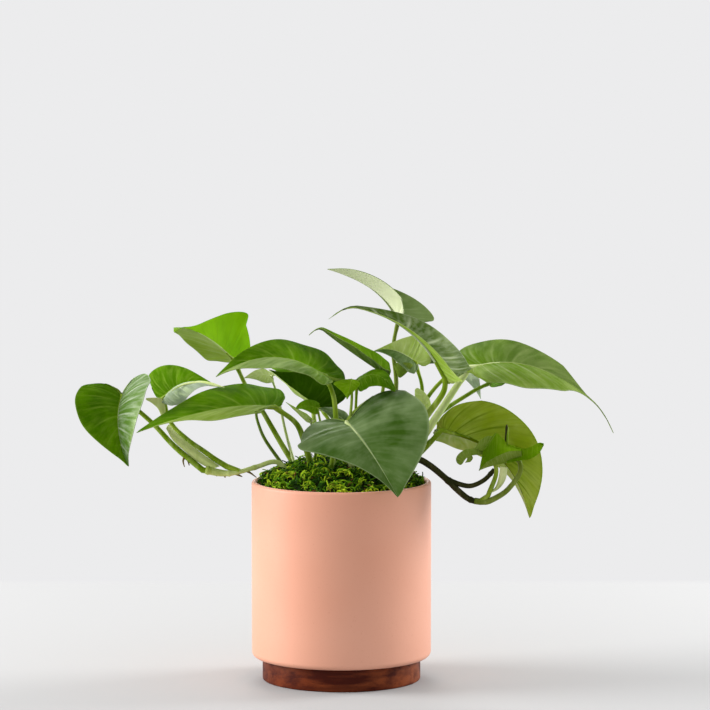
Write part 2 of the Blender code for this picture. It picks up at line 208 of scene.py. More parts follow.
def arc(centre, radius, start, end, steps):
    """Points (r, z) along an arc, with its angles in degrees."""
    r, z = centre
    angles = [math.radians(start + (end - start) * i / steps) for i in range(steps + 1)]
    return [(r + radius * math.cos(a), z + radius * math.sin(a)) for a in angles]


def turned(profile, segments):
    """Spins an outline of (radius, height) points, from axis to axis, about the Z axis."""
    bm = bmesh.new()
    ring = [bm.verts.new((r, 0.0, z)) for r, z in profile]
    edges = [bm.edges.new(ends) for ends in zip(ring, ring[1:])]
    bmesh.ops.spin(
        bm, geom=ring + edges, axis=(0, 0, 1), cent=(0, 0, 0), angle=math.tau,
        steps=segments, use_merge=True,
    )
    bmesh.ops.remove_doubles(bm, verts=bm.verts, dist=0.001)
    bmesh.ops.recalc_face_normals(bm, faces=bm.faces)
    return bm


def smooth_route(points, count):
    """Points on a Catmull-Rom curve through the given ones, as many between each two."""
    knots = [Vector(point) for point in points]
    knots = [2 * knots[0] - knots[1], *knots, 2 * knots[-1] - knots[-2]]
    spans = len(points) - 1
    route = []
    for step in range(count):
        t = spans * step / (count - 1)
        i = min(int(t), spans - 1)
        f = t - i
        a, b, c, d = knots[i : i + 4]
        bend = 2 * a - 5 * b + 4 * c - d
        rise = 3 * b - a - 3 * c + d
        route.append(0.5 * (2 * b + (c - a) * f + bend * f**2 + rise * f**3))
    return route


def tube_mesh(route, radii, sides):
    """A mesh of a tube along a route, from a curve with a bevel and filled caps."""
    curve = bpy.data.curves.new("route", "CURVE")
    curve.dimensions = "3D"
    curve.bevel_depth = 1.0
    curve.bevel_resolution = (sides - 4) // 2
    curve.resolution_u = 1
    curve.use_fill_caps = True
    spline = curve.splines.new("POLY")
    spline.points.add(len(route) - 1)
    for point, place, radius in zip(spline.points, route, radii):
        point.co = (*place, 1.0)
        point.radius = radius
    guide = bpy.data.objects.new("route", curve)
    mesh = bpy.data.meshes.new_from_object(guide)
    bpy.data.objects.remove(guide)
    bpy.data.curves.remove(curve)
    return mesh


def add_tube(bm, route, radii, sides, material_index=0):
    """Adds a tube to a bmesh, and returns its faces."""
    mesh = tube_mesh(route, radii, sides)
    old_verts, old_faces = len(bm.verts), len(bm.faces)
    bm.from_mesh(mesh)
    bpy.data.meshes.remove(mesh)
    bm.verts.ensure_lookup_table()
    bmesh.ops.remove_doubles(bm, verts=bm.verts[old_verts:], dist=0.01)
    bm.faces.ensure_lookup_table()
    faces = bm.faces[old_faces:]
    for face in faces:
        face.material_index = material_index
    bmesh.ops.recalc_face_normals(bm, faces=faces)
    return faces


print("shape helpers ready")

# %% [markdown]
# ## The planter
#
# The planter is a straight ceramic cylinder with a rounded foot and a soft, rounded rim. It is
# turned from a profile, like the real one, but with far more segments than the solid, so that
# its outline is a clean curve. Its satin, peach-coloured glaze is nearly even: a slow change of
# tone, a few darker specks and fine pits.

# %% Ceramic finish
POT_COLOUR = colour(220, 154, 126)
POT_PALE = colour(226, 164, 138)
POT_SPECK = colour(206, 138, 110)


def ceramic_finish():
    g = Graph("pot_ceramic")
    slow = g.noise(g.place(), 9.0, 2.0)
    tone = g.mix(g.ramp(slow, 0.3, 0.7), POT_COLOUR, POT_PALE)
    specks = g.ramp(g.noise(g.place(), 900.0, 1.0), 0.68, 0.76)
    base = g.mix(g.math("MULTIPLY", specks, 0.35), tone, POT_SPECK)
    fine = g.noise(g.place(), 420.0, 4.0, 0.6)
    rough = g.ramp(fine, 0.2, 0.8, 0.42, 0.55)
    g.bump(fine, 0.12, 0.0004)
    return g.finish(base, rough, 0.5)


ceramic = ceramic_finish()
print("ceramic finish ready")

# %% Turn the planter
POT_RADIUS = 63.5  # half of a 5 inch planter
POT_BOTTOM = 16.3
POT_TOP = 141.6
POT_WALL = 4.0
POT_FLOOR = 6.0
POT_FOOT_ROUND = 4.0
POT_CORNER = 3.0  # inside, between wall and floor
POT_RINGS = (40.0, 80.0, 120.0)
POT_FOOT_RING = 8.0
POT_INNER_RING = 100.0
ROUND_SEGMENTS = 144

rim = POT_WALL / 2
foot = POT_RADIUS - POT_FOOT_ROUND
inner = POT_RADIUS - POT_WALL
inner_floor = POT_BOTTOM + POT_FLOOR
pot_profile = [(0.0, POT_BOTTOM), (foot - POT_FOOT_RING, POT_BOTTOM), (foot, POT_BOTTOM)]
pot_profile += arc((foot, POT_BOTTOM + POT_FOOT_ROUND), POT_FOOT_ROUND, -90, 0, 8)[1:]
pot_profile += [(POT_RADIUS, z) for z in POT_RINGS]
pot_profile += arc((POT_RADIUS - rim, POT_TOP - rim), rim, 0, 180, 12)
pot_profile += [(inner, POT_INNER_RING), (inner, inner_floor + POT_CORNER)]
pot_profile += [(inner - POT_CORNER, inner_floor), (0.0, inner_floor)]
pot_shape = turned(pot_profile, ROUND_SEGMENTS)
pot = add_piece("ceramic_pot_glazed", pot_shape, [ceramic], ["ceramic_pot"])
print("planter faces:", len(pot.data.polygons))

# %% [markdown]
# ## The wood plinth
#
# The plinth is a disc sawn from a dark hardwood board, so its grain runs one way through the whole
# piece: long streaks at the front and back, and end grain at the two sides. Noise that is
# stretched many times along X gives those streaks in three dimensions, so they stay true on every
# face. Small pores, stretched the same way, darken the surface and dent it a little.

# %% Wood finish and plinth
WOOD_DARK = colour(64, 14, 0)
WOOD_MID = colour(100, 38, 10)
WOOD_LIGHT = colour(132, 66, 32)
PLINTH_RADIUS = 56.0
PLINTH_HEIGHT = 16.0
PLINTH_EDGE = 1.2
PLINTH_MIDDLE = 30.0


def wood_finish():
    g = Graph("plinth_wood")
    along = g.place((1.5, 30.0, 42.0))
    streaks = g.noise(along, 3.2, 5.0, 0.6)
    bands = g.noise(g.place((2.0, 14.0, 20.0)), 2.0, 2.0)
    light = g.mix(g.ramp(bands, 0.35, 0.65), WOOD_MID, WOOD_LIGHT)
    base = g.mix(g.ramp(streaks, 0.38, 0.62), WOOD_DARK, light)
    pores = g.noise(g.place((14.0, 240.0, 320.0)), 4.0, 2.0)
    dark = g.ramp(pores, 0.62, 0.72)
    base = g.mix(g.math("MULTIPLY", dark, 0.6), base, WOOD_DARK)
    g.bump(g.math("SUBTRACT", streaks, g.math("MULTIPLY", dark, 0.5)), 0.25, 0.0004)
    return g.finish(base, g.ramp(streaks, 0.3, 0.7, 0.55, 0.42), 0.12)


edge = PLINTH_RADIUS - PLINTH_EDGE
plinth_profile = [(0.0, 0.0), (PLINTH_MIDDLE, 0.0), (edge, 0.0)]
plinth_profile += arc((edge, PLINTH_EDGE), PLINTH_EDGE, -90, 0, 5)[1:]
plinth_profile += arc((edge, PLINTH_HEIGHT - PLINTH_EDGE), PLINTH_EDGE, 0, 90, 5)
plinth_profile += [(PLINTH_MIDDLE, PLINTH_HEIGHT), (0.0, PLINTH_HEIGHT)]
disc = turned(plinth_profile, ROUND_SEGMENTS)
plinth = add_piece("wood_plinth_oiled", disc, [wood_finish()], ["wood_plinth"])
print("plinth faces:", len(plinth.data.polygons))

# %% [markdown]
# ## Nursery pot and soil
#
# The thin black nursery pot and the potting mix are already full solids in the frame, and the
# moss and the planter hide them. They keep their solids and get finishes of their own, for anyone
# who lifts the moss: satin plastic with fine moulding marks, and dark, crumbly peat with pale
# grains of perlite.

# %% Finish the pieces inside the planter
LINER_BLACK = colour(28, 28, 29)
LINER_WORN = colour(44, 44, 45)
PEAT_DARK = colour(33, 22, 15)
PEAT_BROWN = colour(72, 50, 33)
PERLITE = colour(205, 198, 186)


def liner_finish():
    g = Graph("liner_plastic_satin")
    marks = g.noise(g.place((60.0, 60.0, 700.0)), 1.0, 3.0)
    g.bump(marks, 0.15, 0.0003)
    worn = g.mix(g.ramp(marks, 0.4, 0.8), LINER_BLACK, LINER_WORN)
    return g.finish(worn, g.ramp(marks, 0.3, 0.7, 0.4, 0.55))


def soil_finish():
    g = Graph("potting_mix_peat")
    crumbs = g.noise(g.place(), 260.0, 6.0, 0.7)
    base = g.mix(g.ramp(crumbs, 0.35, 0.65), PEAT_DARK, PEAT_BROWN)
    grains = g.ramp(g.noise(g.place(), 420.0, 0.0), 0.74, 0.77)
    g.bump(crumbs, 0.8, 0.0012)
    return g.finish(g.mix(grains, base, PERLITE), 0.95, 0.2)


for node, material in (("nursery_pot", liner_finish()), ("potting_soil", soil_finish())):
    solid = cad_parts[node].data
    solid.materials.clear()
    solid.materials.append(material)
print("inside pieces finished")

# %% [markdown]
# ## The moss
#
# Preserved sheet moss covers the soil. It is a springy mat of small cushions, each a tuft of
# curled green strands, with dark gaps between them. A low mound closes the surface underneath.
# The strands are made from a few tiny curled tubes, extruded ring by ring, which are then copied
# into place by the thousand with their own turn, size and tone. Two attributes go with them: tone
# is one value for each strand, and tip runs from 0 at its foot to 1 at its end. So a single finish
# can paint deep and bright greens, a few brown bits, and painted shade on the strands' feet down
# in the mat.

# %% Moss mound
MOSS_RADIUS = 59.2
MOSS_EDGE = 136.0
MOSS_RISE = 18.0
MOSS_UNDER = 132.0
BED_DROP = 2.5  # of the mound below the surface of the moss
BED_LUMP = 2.2
BED_MIDDLE = 50.0
BED_DARK = colour(18, 26, 8)
BED_GREEN = colour(52, 74, 20)
BED_RINGS = (58.4, 56, 53, 49, 44, 38, 30, 20, 10, 0.0)
BED_SEGMENTS = 72


def moss_height(radius):
    """The height of the moss's surface, nearly flat at the middle and rounded off at the edge."""
    return MOSS_EDGE + MOSS_RISE * (1 - min(radius / MOSS_RADIUS, 1.0) ** 4)


def moss_bed_finish():
    g = Graph("sheet_moss_bed")
    lumps = g.noise(g.place(), 160.0, 5.0, 0.65)
    base = g.mix(g.ramp(lumps, 0.35, 0.7), BED_DARK, BED_GREEN)
    g.bump(lumps, 0.9, 0.002)
    return g.finish(base, 0.95, 0.2)


bed_profile = [(0.0, MOSS_UNDER - 2), (BED_MIDDLE, MOSS_UNDER - 2)]
bed_profile += [(MOSS_RADIUS - 0.4, MOSS_UNDER)]
bed_profile += [(r, moss_height(r) - BED_DROP) for r in BED_RINGS]
bed = turned(bed_profile, BED_SEGMENTS)
for vert in bed.verts:
    if vert.co.z > MOSS_UNDER + 1:
        vert.co.z += BED_LUMP * noise.noise(vert.co * 0.16)
add_piece("moss_bed", bed, [moss_bed_finish()], ["moss_mound"])
print("moss mound ready")

# %% A strand of moss
STRAND_LENGTH = 10.0
STRAND_RADIUS = 1.15
STRAND_STEPS = 4
STRAND_TAPER = 0.84


def strand_mesh(dice):
    """One curled, tapering strand with three sides, before it is scaled."""
    bm = bmesh.new()
    bm.verts.layers.float.new("tone")
    tip = bm.verts.layers.float.new("tip")
    ring = bmesh.ops.create_circle(bm, segments=3, radius=STRAND_RADIUS, cap_ends=False)["verts"]
    edges = list({edge for vert in ring for edge in vert.link_edges})
    bend = Matrix.Rotation(math.radians(dice.uniform(18, 52)), 3, "X")
    swirl = Matrix.Rotation(math.radians(dice.uniform(-30, 30)), 3, "Z")
    heading = Matrix.Identity(3)
    centre = Vector((0.0, 0.0, 0.0))
    for step in range(1, STRAND_STEPS + 1):
        out = bmesh.ops.extrude_edge_only(bm, edges=edges)["geom"]
        ring = [item for item in out if isinstance(item, bmesh.types.BMVert)]
        edges = [item for item in out if isinstance(item, bmesh.types.BMEdge)]
        heading = heading @ bend @ swirl
        forward = heading @ Vector((0.0, 0.0, STRAND_LENGTH / STRAND_STEPS))
        bmesh.ops.translate(bm, vec=forward, verts=ring)
        centre += forward
        turn = (heading @ bend @ heading.inverted()).to_4x4()
        bmesh.ops.rotate(bm, cent=centre, matrix=turn, verts=ring)
        about = Matrix.Translation(-centre)
        bmesh.ops.scale(bm, vec=(STRAND_TAPER,) * 3, verts=ring, space=about)
        for vert in ring:
            vert[tip] = step / STRAND_STEPS
    bmesh.ops.edgeloop_fill(bm, edges=edges)
    bmesh.ops.recalc_face_normals(bm, faces=bm.faces)
    mesh = bpy.data.meshes.new("strand")
    bm.to_mesh(mesh)
    bm.free()
    return mesh


print("strand of", STRAND_STEPS, "steps")

# %% Moss finish
MOSS_DEEP = colour(30, 68, 0)
MOSS_GREEN = colour(92, 146, 4)
MOSS_BRIGHT = colour(200, 226, 46)
MOSS_BROWN = colour(120, 84, 40)
MOSS_FOOT_SHADE = colour(8, 18, 0)


def moss_finish():
    g = Graph("sheet_moss_strands")
    tone = g.attribute("tone")
    tip = g.attribute("tip")
    green = g.mix(g.ramp(tone, 0.1, 0.5), MOSS_DEEP, MOSS_GREEN)
    green = g.mix(g.ramp(tone, 0.45, 0.85), green, MOSS_BRIGHT)
    green = g.mix(g.ramp(tone, 0.06, 0.03), green, MOSS_BROWN)
    # Painted shade: each strand darkens towards its foot, down in the mat
    base = g.mix(g.ramp(tip, 0.0, 0.5, 0.7, 0.0), green, MOSS_FOOT_SHADE)
    grain = g.noise(g.place(), 900.0, 2.0)
    g.bump(grain, 0.3, 0.0003)
    return g.finish(base, 0.7, 0.1)


print("moss finish ready")

# %% Lay the moss
MOSS_CUSHIONS = 190
STRANDS_PER_CUSHION = 30
STRAND_KINDS = 8
CUSHION_MARGIN = 3.5
CUSHION_DEPTH = 4.5
GOLDEN_ANGLE = math.radians(137.508)
BROWN_SHARE = 0.04

dice = random.Random(5)
kinds = [strand_mesh(dice) for _ in range(STRAND_KINDS)]
strands = bmesh.new()
for k in range(MOSS_CUSHIONS):
    # A turn of the golden angle each time spreads the cushions evenly over the disc
    radius = (MOSS_RADIUS - CUSHION_MARGIN) * math.sqrt((k + 0.5) / MOSS_CUSHIONS)
    angle = k * GOLDEN_ANGLE
    cushion = Vector((radius * math.cos(angle), radius * math.sin(angle), 0.0))
    cushion.z = moss_height(radius) - CUSHION_DEPTH + dice.uniform(-2.0, 3.0)
    puff = dice.uniform(3.0, 5.0)
    cushion_tone = dice.uniform(0.05, 0.7)
    for _ in range(STRANDS_PER_CUSHION):
        up = Vector((dice.gauss(0, 1), dice.gauss(0, 1), abs(dice.gauss(0, 1)) + 0.5))
        up.normalize()
        size = dice.uniform(0.35, 0.85)
        place = (
            Matrix.Translation(cushion + up * puff)
            @ up.to_track_quat("Z", "X").to_matrix().to_4x4()
            @ Matrix.Rotation(dice.uniform(0, math.tau), 4, "Z")
            @ Matrix.Diagonal((size, size, size * 0.8, 1.0))
        )
        mesh = kinds[dice.randrange(STRAND_KINDS)]
        brown = dice.random() < BROWN_SHARE
        shade = 0.0 if brown else min(max(cushion_tone + dice.uniform(-0.3, 0.3), 0.08), 1.0)
        mesh.attributes["tone"].data.foreach_set("value", [shade] * len(mesh.vertices))
        mesh.transform(place)
        strands.from_mesh(mesh)
        mesh.transform(place.inverted())
inside = MOSS_RADIUS - 0.3
for vert in strands.verts:
    reach = math.hypot(vert.co.x, vert.co.y)
    if reach > inside and vert.co.z < POT_TOP + 1:
        vert.co.xy *= inside / reach
add_piece("moss_strands", strands, [moss_finish()], sharp=80)
for mesh in kinds:
    bpy.data.meshes.remove(mesh)
print("moss strands:", MOSS_CUSHIONS * STRANDS_PER_CUSHION)

# %% [markdown]
# ## How a pothos leaf is built
#
# A pothos blade is heart shaped. A strong midrib runs from the stalk to a long drip tip, and side
# veins leave it in even arcs towards the margin. Between the veins the blade swells a little, so
# light breaks into soft stripes across it. The blade is thin and waxy, darker above and paler
# below, and light shines through it.
#
# Each blade starts as a flat grid. Its columns run across, from margin to margin, and its rows
# follow the side veins, so the veins can be shaped and painted by row. Every vertex then moves to
# its place on the leaf: out from the midrib, along the outline, up with the fold, the swelling
# between veins and the wave of the margin. Finally the sheet gets its thickness, and the new side
# takes the paler finish of the underside.
#
# One outline serves all leaves. It goes from the stalk round the lobe to the tip, as (share of the
# length, share of the half's width). Each leaf stretches its lobe, fills it out or draws it in,
# and shifts its widest place.

# %% The outline and the grid of a blade
HALF_BLADE = [
    (0.0, 0.0), (-0.085, 0.22), (-0.12, 0.52), (-0.06, 0.82), (0.06, 0.98), (0.20, 1.0),
    (0.38, 0.87), (0.57, 0.63), (0.75, 0.34), (0.89, 0.12), (1.0, 0.0),
]
BLADE_ROWS = 54
BLADE_COLUMNS = 9  # in each half
BLADE_THICKNESS = 0.45
BLADE_CURL = 20.0  # degrees that a half turns between midrib and margin
GROWN_WIDTH = 30.0  # of a half; narrower ones have finer swellings, waves and midribs
WIDEST = 0.26  # the share of the midrib where a blade is widest
HOOK_FROM = 0.84  # the share where the drip tip starts to bend
WEDGE_REACH = 0.12
TAIL_SLOPE = 1.2
TAIL_WIDTH = 0.14  # of the outline's width, where the tail is narrowest
SIDE_VEINS = 9
VEIN_BOW = 0.04  # how far a side vein bends back towards the stalk
VEIN_SWELL = 0.38  # mm, between two side veins
MARGIN_WAVE = 15.0  # radians from stalk to tip
MARGIN_RIPPLE = 33.0
HALF_SHIFT = 7.3  # of the waves in one half against the other

# base, mid, tip: three points on the midrib. right, left: how far each half reaches where it is
# widest. stalk: the points of the stalk, up to the base. lobe: how long the lobe beside the stalk
# is, and below 0 the base is a wedge instead. full: above 1 for a narrower outline, below 1 for a
# fuller one. skew: above 1 for a leaf that is widest nearer its stalk. radius: of the stalk. wave:
# of the margin. hook: how far the drip tip bends. above, below, stem, fold: finishes. tail: the
# share of the length that is drawn out into a narrow tail. A pair stands for (right, left).
Leaf = namedtuple(
    "Leaf",
    "base mid tip right left stalk lobe full skew radius wave hook above below stem fold tail",
    defaults=(1.0, 1.0, 1.0, 1.5, 1.0, (0, 0, 0), "deep", "matte", "stalk", "mid", 0.0),
)


def midrib_arms(leaf):
    """The ends of the midrib and the point between them that pulls it into its curve."""
    base, mid, tip = map(Vector, (leaf.base, leaf.mid, leaf.tip))
    return base, 2 * mid - (base + tip) / 2, tip


def midrib_point(leaf, along):
    """A point on the midrib, an even curve through its three points."""
    base, pull, tip = midrib_arms(leaf)
    if along < 0:
        return base + (pull - base) * 2 * along
    point = (1 - along) ** 2 * base + 2 * along * (1 - along) * pull + along**2 * tip
    if along > HOOK_FROM:
        point += Vector(leaf.hook) * ((along - HOOK_FROM) / (1 - HOOK_FROM)) ** 2
    return point


def midrib_direction(leaf, along):
    base, pull, tip = midrib_arms(leaf)
    along = min(max(along, 0.0), 1.0)
    return ((1 - along) * (pull - base) + along * (tip - pull)).normalized()


def pair(value):
    """(right, left) out of one value for both halves or a pair."""
    return value if isinstance(value, tuple) else (value, value)


class HalfBlade:
    """One half of a leaf. The side is 1 for the right half and -1 for the left one."""

    def __init__(self, leaf, side, seed):
        self.leaf = leaf
        self.side = side
        self.seed = seed + HALF_SHIFT * side
        reach = Vector(leaf.right if side > 0 else leaf.left)
        self.width = reach.length
        self.out = reach.normalized()
        self.forward = midrib_direction(leaf, WIDEST)
        self.up = (reach.cross(self.forward) * side).normalized()
        which = 0 if side > 0 else 1
        self.lobe = pair(leaf.lobe)[which]
        self.full = pair(leaf.full)[which]
        self.skew = pair(leaf.skew)[which]

    def turn(self, along):
        """The turn from the widest place's heading to the midrib's heading here."""
        return self.forward.rotation_difference(midrib_direction(self.leaf, along))

    def point(self, outline, row, share):
        """The place for a row, with its point on the outline, and a share of the way to it."""
        if outline.x >= 0:
            reach_along = outline.x**self.skew
        elif self.lobe >= 0:
            reach_along = outline.x * self.lobe
        else:
            reach_along = -WEDGE_REACH * self.lobe * outline.y**2
        margin_out = max(outline.y, 0.0) ** self.full
        if self.leaf.tail:
            narrow = TAIL_SLOPE * ((1 - reach_along) / self.leaf.tail - 1)
            margin_out *= TAIL_WIDTH + (1 - TAIL_WIDTH) * min(max(narrow, 0.0), 1.0)
        # The side vein leaves the midrib at its foot and runs in a bow to the margin
        foot = row**3  # the feet crowd near the stalk
        bow = VEIN_BOW * math.sin(math.pi * share) * (1 - row)
        along = foot + (reach_along - foot) * share - bow
        out = margin_out * share
        # The half arches between midrib and margin, and swells and waves on top of that
        half_turn = math.radians(BLADE_CURL) * (1 - out) / 2
        flat = out * self.width * math.cos(half_turn)
        lift = out * self.width * math.sin(half_turn)
        size = min(self.width / GROWN_WIDTH, 1.2) * self.leaf.wave * margin_out
        swell = math.cos(math.tau * SIDE_VEINS * row) * min(row / 0.2, 1.0)
        lift -= VEIN_SWELL * size * swell * math.sin(math.pi * min(share * 1.1, 1.0))
        edge = size * share**3
        lift += edge * math.sin(row * MARGIN_WAVE + self.seed)
        lift += edge * 0.5 * math.sin(row * MARGIN_RIPPLE + self.seed * 2.1)
        turn = self.turn(along)
        return midrib_point(self.leaf, along) + turn @ self.out * flat + turn @ self.up * lift


print("blade of", BLADE_ROWS, "rows")

# %% [markdown]
# ## Leaf finishes
#
# The finish reads two attributes that are stored while the blade is shaped. across runs from -1 to
# 1 over the two halves, and vein runs from 0 at the stalk to 1 at the tip, in step with the side
# veins. From these it paints a pale midrib, a pale margin that is a painted rim light, fine lighter
# side veins, still finer lines between them, and streaks that lie along the veins. Broad patches of
# noise shift the green, as age does on a living leaf, and on some finishes the paler patches are a
# painted reflection. Towards the tip some blades take on painted shade. A translucent share lets
# light from behind glow through, more on young leaves than on old ones.

# %% Leaf finish
WAX_TINT = (0.75, 1.0, 0.2, 1.0)  # straight on, a leaf's wax mirrors little blue
YOUNG_GLOW = colour(160, 200, 10)

# Two greens of the blade, the colour of its veins and how clear they are, how rough and how waxy
# it is, the share of light that it lets through, and how far it takes on the darker green towards
# the tip as painted shade, or the veins' colour, a paler tip, when that is below 0
Tone = namedtuple("Tone", "dark fresh vein clear rough wax through tip", defaults=(0.0,))


def leaf_finish(name, tone):
    g = Graph("leaf_" + name)
    dark, fresh, vein = colour(*tone.dark), colour(*tone.fresh), colour(*tone.vein)
    signed = g.attribute("across")
    across = g.math("ABSOLUTE", signed)
    row = g.attribute("vein")
    patches = g.noise(g.place(), 42.0, 3.0, 0.55)
    base = g.mix(g.ramp(patches, 0.36, 0.66), dark, fresh)
    # Painted shade: towards the tip the blade takes on its darker green, and below 0 the veins'
    # paler colour instead
    tip = vein if tone.tip < 0 else dark
    base = g.mix(g.ramp(row, 0.45, 0.95, 0.0, abs(tone.tip)), base, tip)
    # Streaks that lie along the side veins
    lay = {"X": g.math("MULTIPLY", signed, 1.8), "Y": g.math("MULTIPLY", row, 30.0)}
    streaks = g.noise(g.node("ShaderNodeCombineXYZ", lay).outputs[0], 1.0, 3.0, 0.6)
    contrast = 0.1 + 0.6 * tone.clear
    base = g.mix(g.ramp(streaks, 0.46, 0.72, 0.0, contrast), base, vein)
    base = g.mix(g.ramp(streaks, 0.5, 0.28, 0.0, contrast + 0.1), base, dark)
    # Side veins, finer lines between them and the darker valleys that they frame
    wave = g.math("PINGPONG", g.math("MULTIPLY", row, float(SIDE_VEINS)), 0.5)
    side_vein = g.math("MULTIPLY", g.ramp(wave, 0.09, 0.0), g.ramp(across, 0.97, 0.5))
    fine = g.math("PINGPONG", g.math("MULTIPLY", row, SIDE_VEINS * 3.0), 0.5)
    fine_vein = g.math("MULTIPLY", g.ramp(fine, 0.2, 0.0), 0.2)
    valley = g.ramp(wave, 0.0, 0.5, 0.0, 0.1 + 0.4 * tone.clear)
    base = g.mix(valley, base, dark)
    lines = g.math("MULTIPLY", g.math("MAXIMUM", side_vein, fine_vein), tone.clear)
    base = g.mix(lines, base, vein)
    # The midrib, pale in its own colour, and a pale margin that is a painted rim light
    base = g.mix(g.ramp(across, 0.032, 0.01, 0.0, 0.7), base, vein)
    base = g.mix(g.ramp(across, 0.965, 1.0, 0.0, 0.4), base, vein)
    # Relief: sunk veins, tiny cells and streaks, which fade out towards the thin tip
    cells = g.noise(g.place(), 500.0, 2.0, 0.5)
    height = g.math("ADD", g.math("MULTIPLY", side_vein, -0.3), g.math("MULTIPLY", cells, 0.06))
    height = g.math("ADD", height, g.math("MULTIPLY", streaks, 1.6 * tone.clear))
    height = g.math("MULTIPLY", height, g.ramp(row, 0.85, 0.5))
    g.bump(height, 0.35, 0.0006)
    g.finish(base, g.ramp(patches, 0.3, 0.7, tone.rough + 0.06, tone.rough - 0.04), tone.wax)
    g.shader.inputs["Specular Tint"].default_value = WAX_TINT
    glow = {"Color": g.mix(0.5, base, YOUNG_GLOW)}
    return g.blend(tone.through, g.node("ShaderNodeBsdfTranslucent", glow))


def stalk_finish(name, low, high, streak, rough):
    """Stalks and vines: skin in two colours, with long streaks."""
    g = Graph(name)
    streaks = g.noise(g.place((300.0, 300.0, 24.0)), 1.0, 3.0)
    patches = g.noise(g.place(), 55.0, 2.0)
    base = g.mix(g.ramp(patches, 0.35, 0.65), colour(*low), colour(*high))
    base = g.mix(g.ramp(streaks, 0.5, 0.75, 0.0, 0.35), base, colour(*streak))
    g.bump(streaks, 0.3, 0.0004)
    g.shader.inputs["Specular Tint"].default_value = WAX_TINT
    return g.finish(base, rough, 0.15)


print("leaf and stalk finishes ready")

# %% Greens of the leaves and stems
TONES = {
    "deep": Tone((62, 104, 0), (96, 142, 0), (140, 168, 60), 0.4, 0.7, 0.03, 0.2),
    "shade": Tone((34, 64, 0), (48, 84, 0), (84, 112, 30), 0.25, 0.7, 0.02, 0.12),
    "mid": Tone((68, 102, 8), (100, 134, 26), (156, 174, 104), 0.45, 0.6, 0.05, 0.2, -0.7),
    "striped": Tone((58, 86, 14), (98, 122, 48), (184, 196, 156), 0.8, 0.5, 0.1, 0.15),
    "grey": Tone((98, 120, 58), (128, 150, 92), (166, 178, 130), 0.3, 0.5, 0.1, 0.2),
    # painted reflection: a grey-white green for halves that mirror the lamps at a grazing angle
    "painted_sheen": Tone((132, 152, 122), (178, 190, 172), (212, 220, 206), 0.3, 0.32, 0.4, 0.2),
    # painted reflection: the near-white veins' colour makes white glints along the streaks, and
    # painted shade darkens the blade towards the tip
    "glossy_painted_glints": Tone((74, 110, 34), (106, 136, 70), (206, 216, 192), 0.6, 0.25, 0.4, 0.25, 0.6),
    # painted reflection in the pale second green, which lies in broad patches, and painted shade
    # towards the tip
    "waxy": Tone((50, 82, 14), (124, 146, 96), (170, 186, 140), 0.06, 0.42, 0.16, 0.15, 0.8),
    "fresh": Tone((90, 134, 0), (122, 164, 0), (168, 194, 70), 0.3, 0.6, 0.04, 0.3),
    # painted light: a paler green for near halves that catch the lamps at a grazing angle
    "soft": Tone((104, 140, 24), (150, 174, 80), (190, 204, 144), 0.45, 0.55, 0.06, 0.28),
    # painted light: a pale yellow-green that shows a half as lit by the lamps
    "bright": Tone((158, 184, 62), (192, 210, 114), (218, 228, 166), 0.3, 0.55, 0.06, 0.42),
    # partly the paler green of small leaves and undersides, partly painted light on lit halves and
    # margins
    "pale": Tone((156, 182, 64), (198, 210, 136), (224, 230, 186), 0.35, 0.5, 0.1, 0.4),
    "matte": Tone((112, 140, 36), (144, 166, 70), (180, 196, 116), 0.35, 0.6, 0.05, 0.3),
    "lime": Tone((132, 190, 0), (158, 214, 0), (112, 162, 0), 0.4, 0.6, 0.04, 0.42),
    "olive": Tone((162, 178, 40), (206, 214, 104), (104, 124, 4), 0.95, 0.6, 0.04, 0.42),
    "cream": Tone((228, 234, 192), (238, 243, 206), (230, 237, 190), 0.1, 0.6, 0.05, 0.05),
}
FINISHES = {name: leaf_finish(name, tone) for name, tone in TONES.items()}

# A name, two colours of skin, the colour of its streaks, and how rough it is
STEM_TONES = {
    "stalk": ("leaf_stalk", (94, 124, 6), (138, 162, 48), (190, 204, 124), 0.42),
    "pale_stalk": ("pale_stalk", (174, 192, 108), (204, 216, 152), (224, 230, 190), 0.42),
    # painted shade: a darker green for a stalk that stands in the shade under the leaves near the
    # moss
    "painted_shade_stalk": ("painted_shade_stalk", (64, 88, 16), (92, 114, 36), (136, 150, 80), 0.42),
    "olive_stalk": ("olive_stalk", (88, 106, 26), (116, 132, 52), (150, 164, 92), 0.42),
    "vine": ("vine_green_skin", (154, 172, 74), (192, 206, 130), (220, 226, 172), 0.46),
    "dark_vine": ("vine_dark_skin", (32, 32, 16), (52, 50, 28), (96, 88, 60), 0.4),
    "sheath": ("leaf_sheath", (190, 204, 126), (220, 228, 170), (156, 176, 84), 0.5),
    "scar": ("vine_scar", (92, 78, 34), (120, 104, 56), (70, 52, 28), 0.6),
}
STEMS = {key: stalk_finish(*tone) for key, tone in STEM_TONES.items()}
print("leaf finishes:", len(FINISHES), "stem finishes:", len(STEMS))

# %% [markdown]
# ## The leaves
#
# Each entry of the table is one leaf: three points on its midrib, how far its right and left
# halves reach where they are widest, and its stalk's route. The rest is character, and is left out
# where a leaf is ordinary: how deep the lobes at the stalk are, or that the base is a wedge, how
# full the outline is, how the margin waves, which way the drip tip hooks, and which finish lies
# above and below. All lengths are in millimetres.

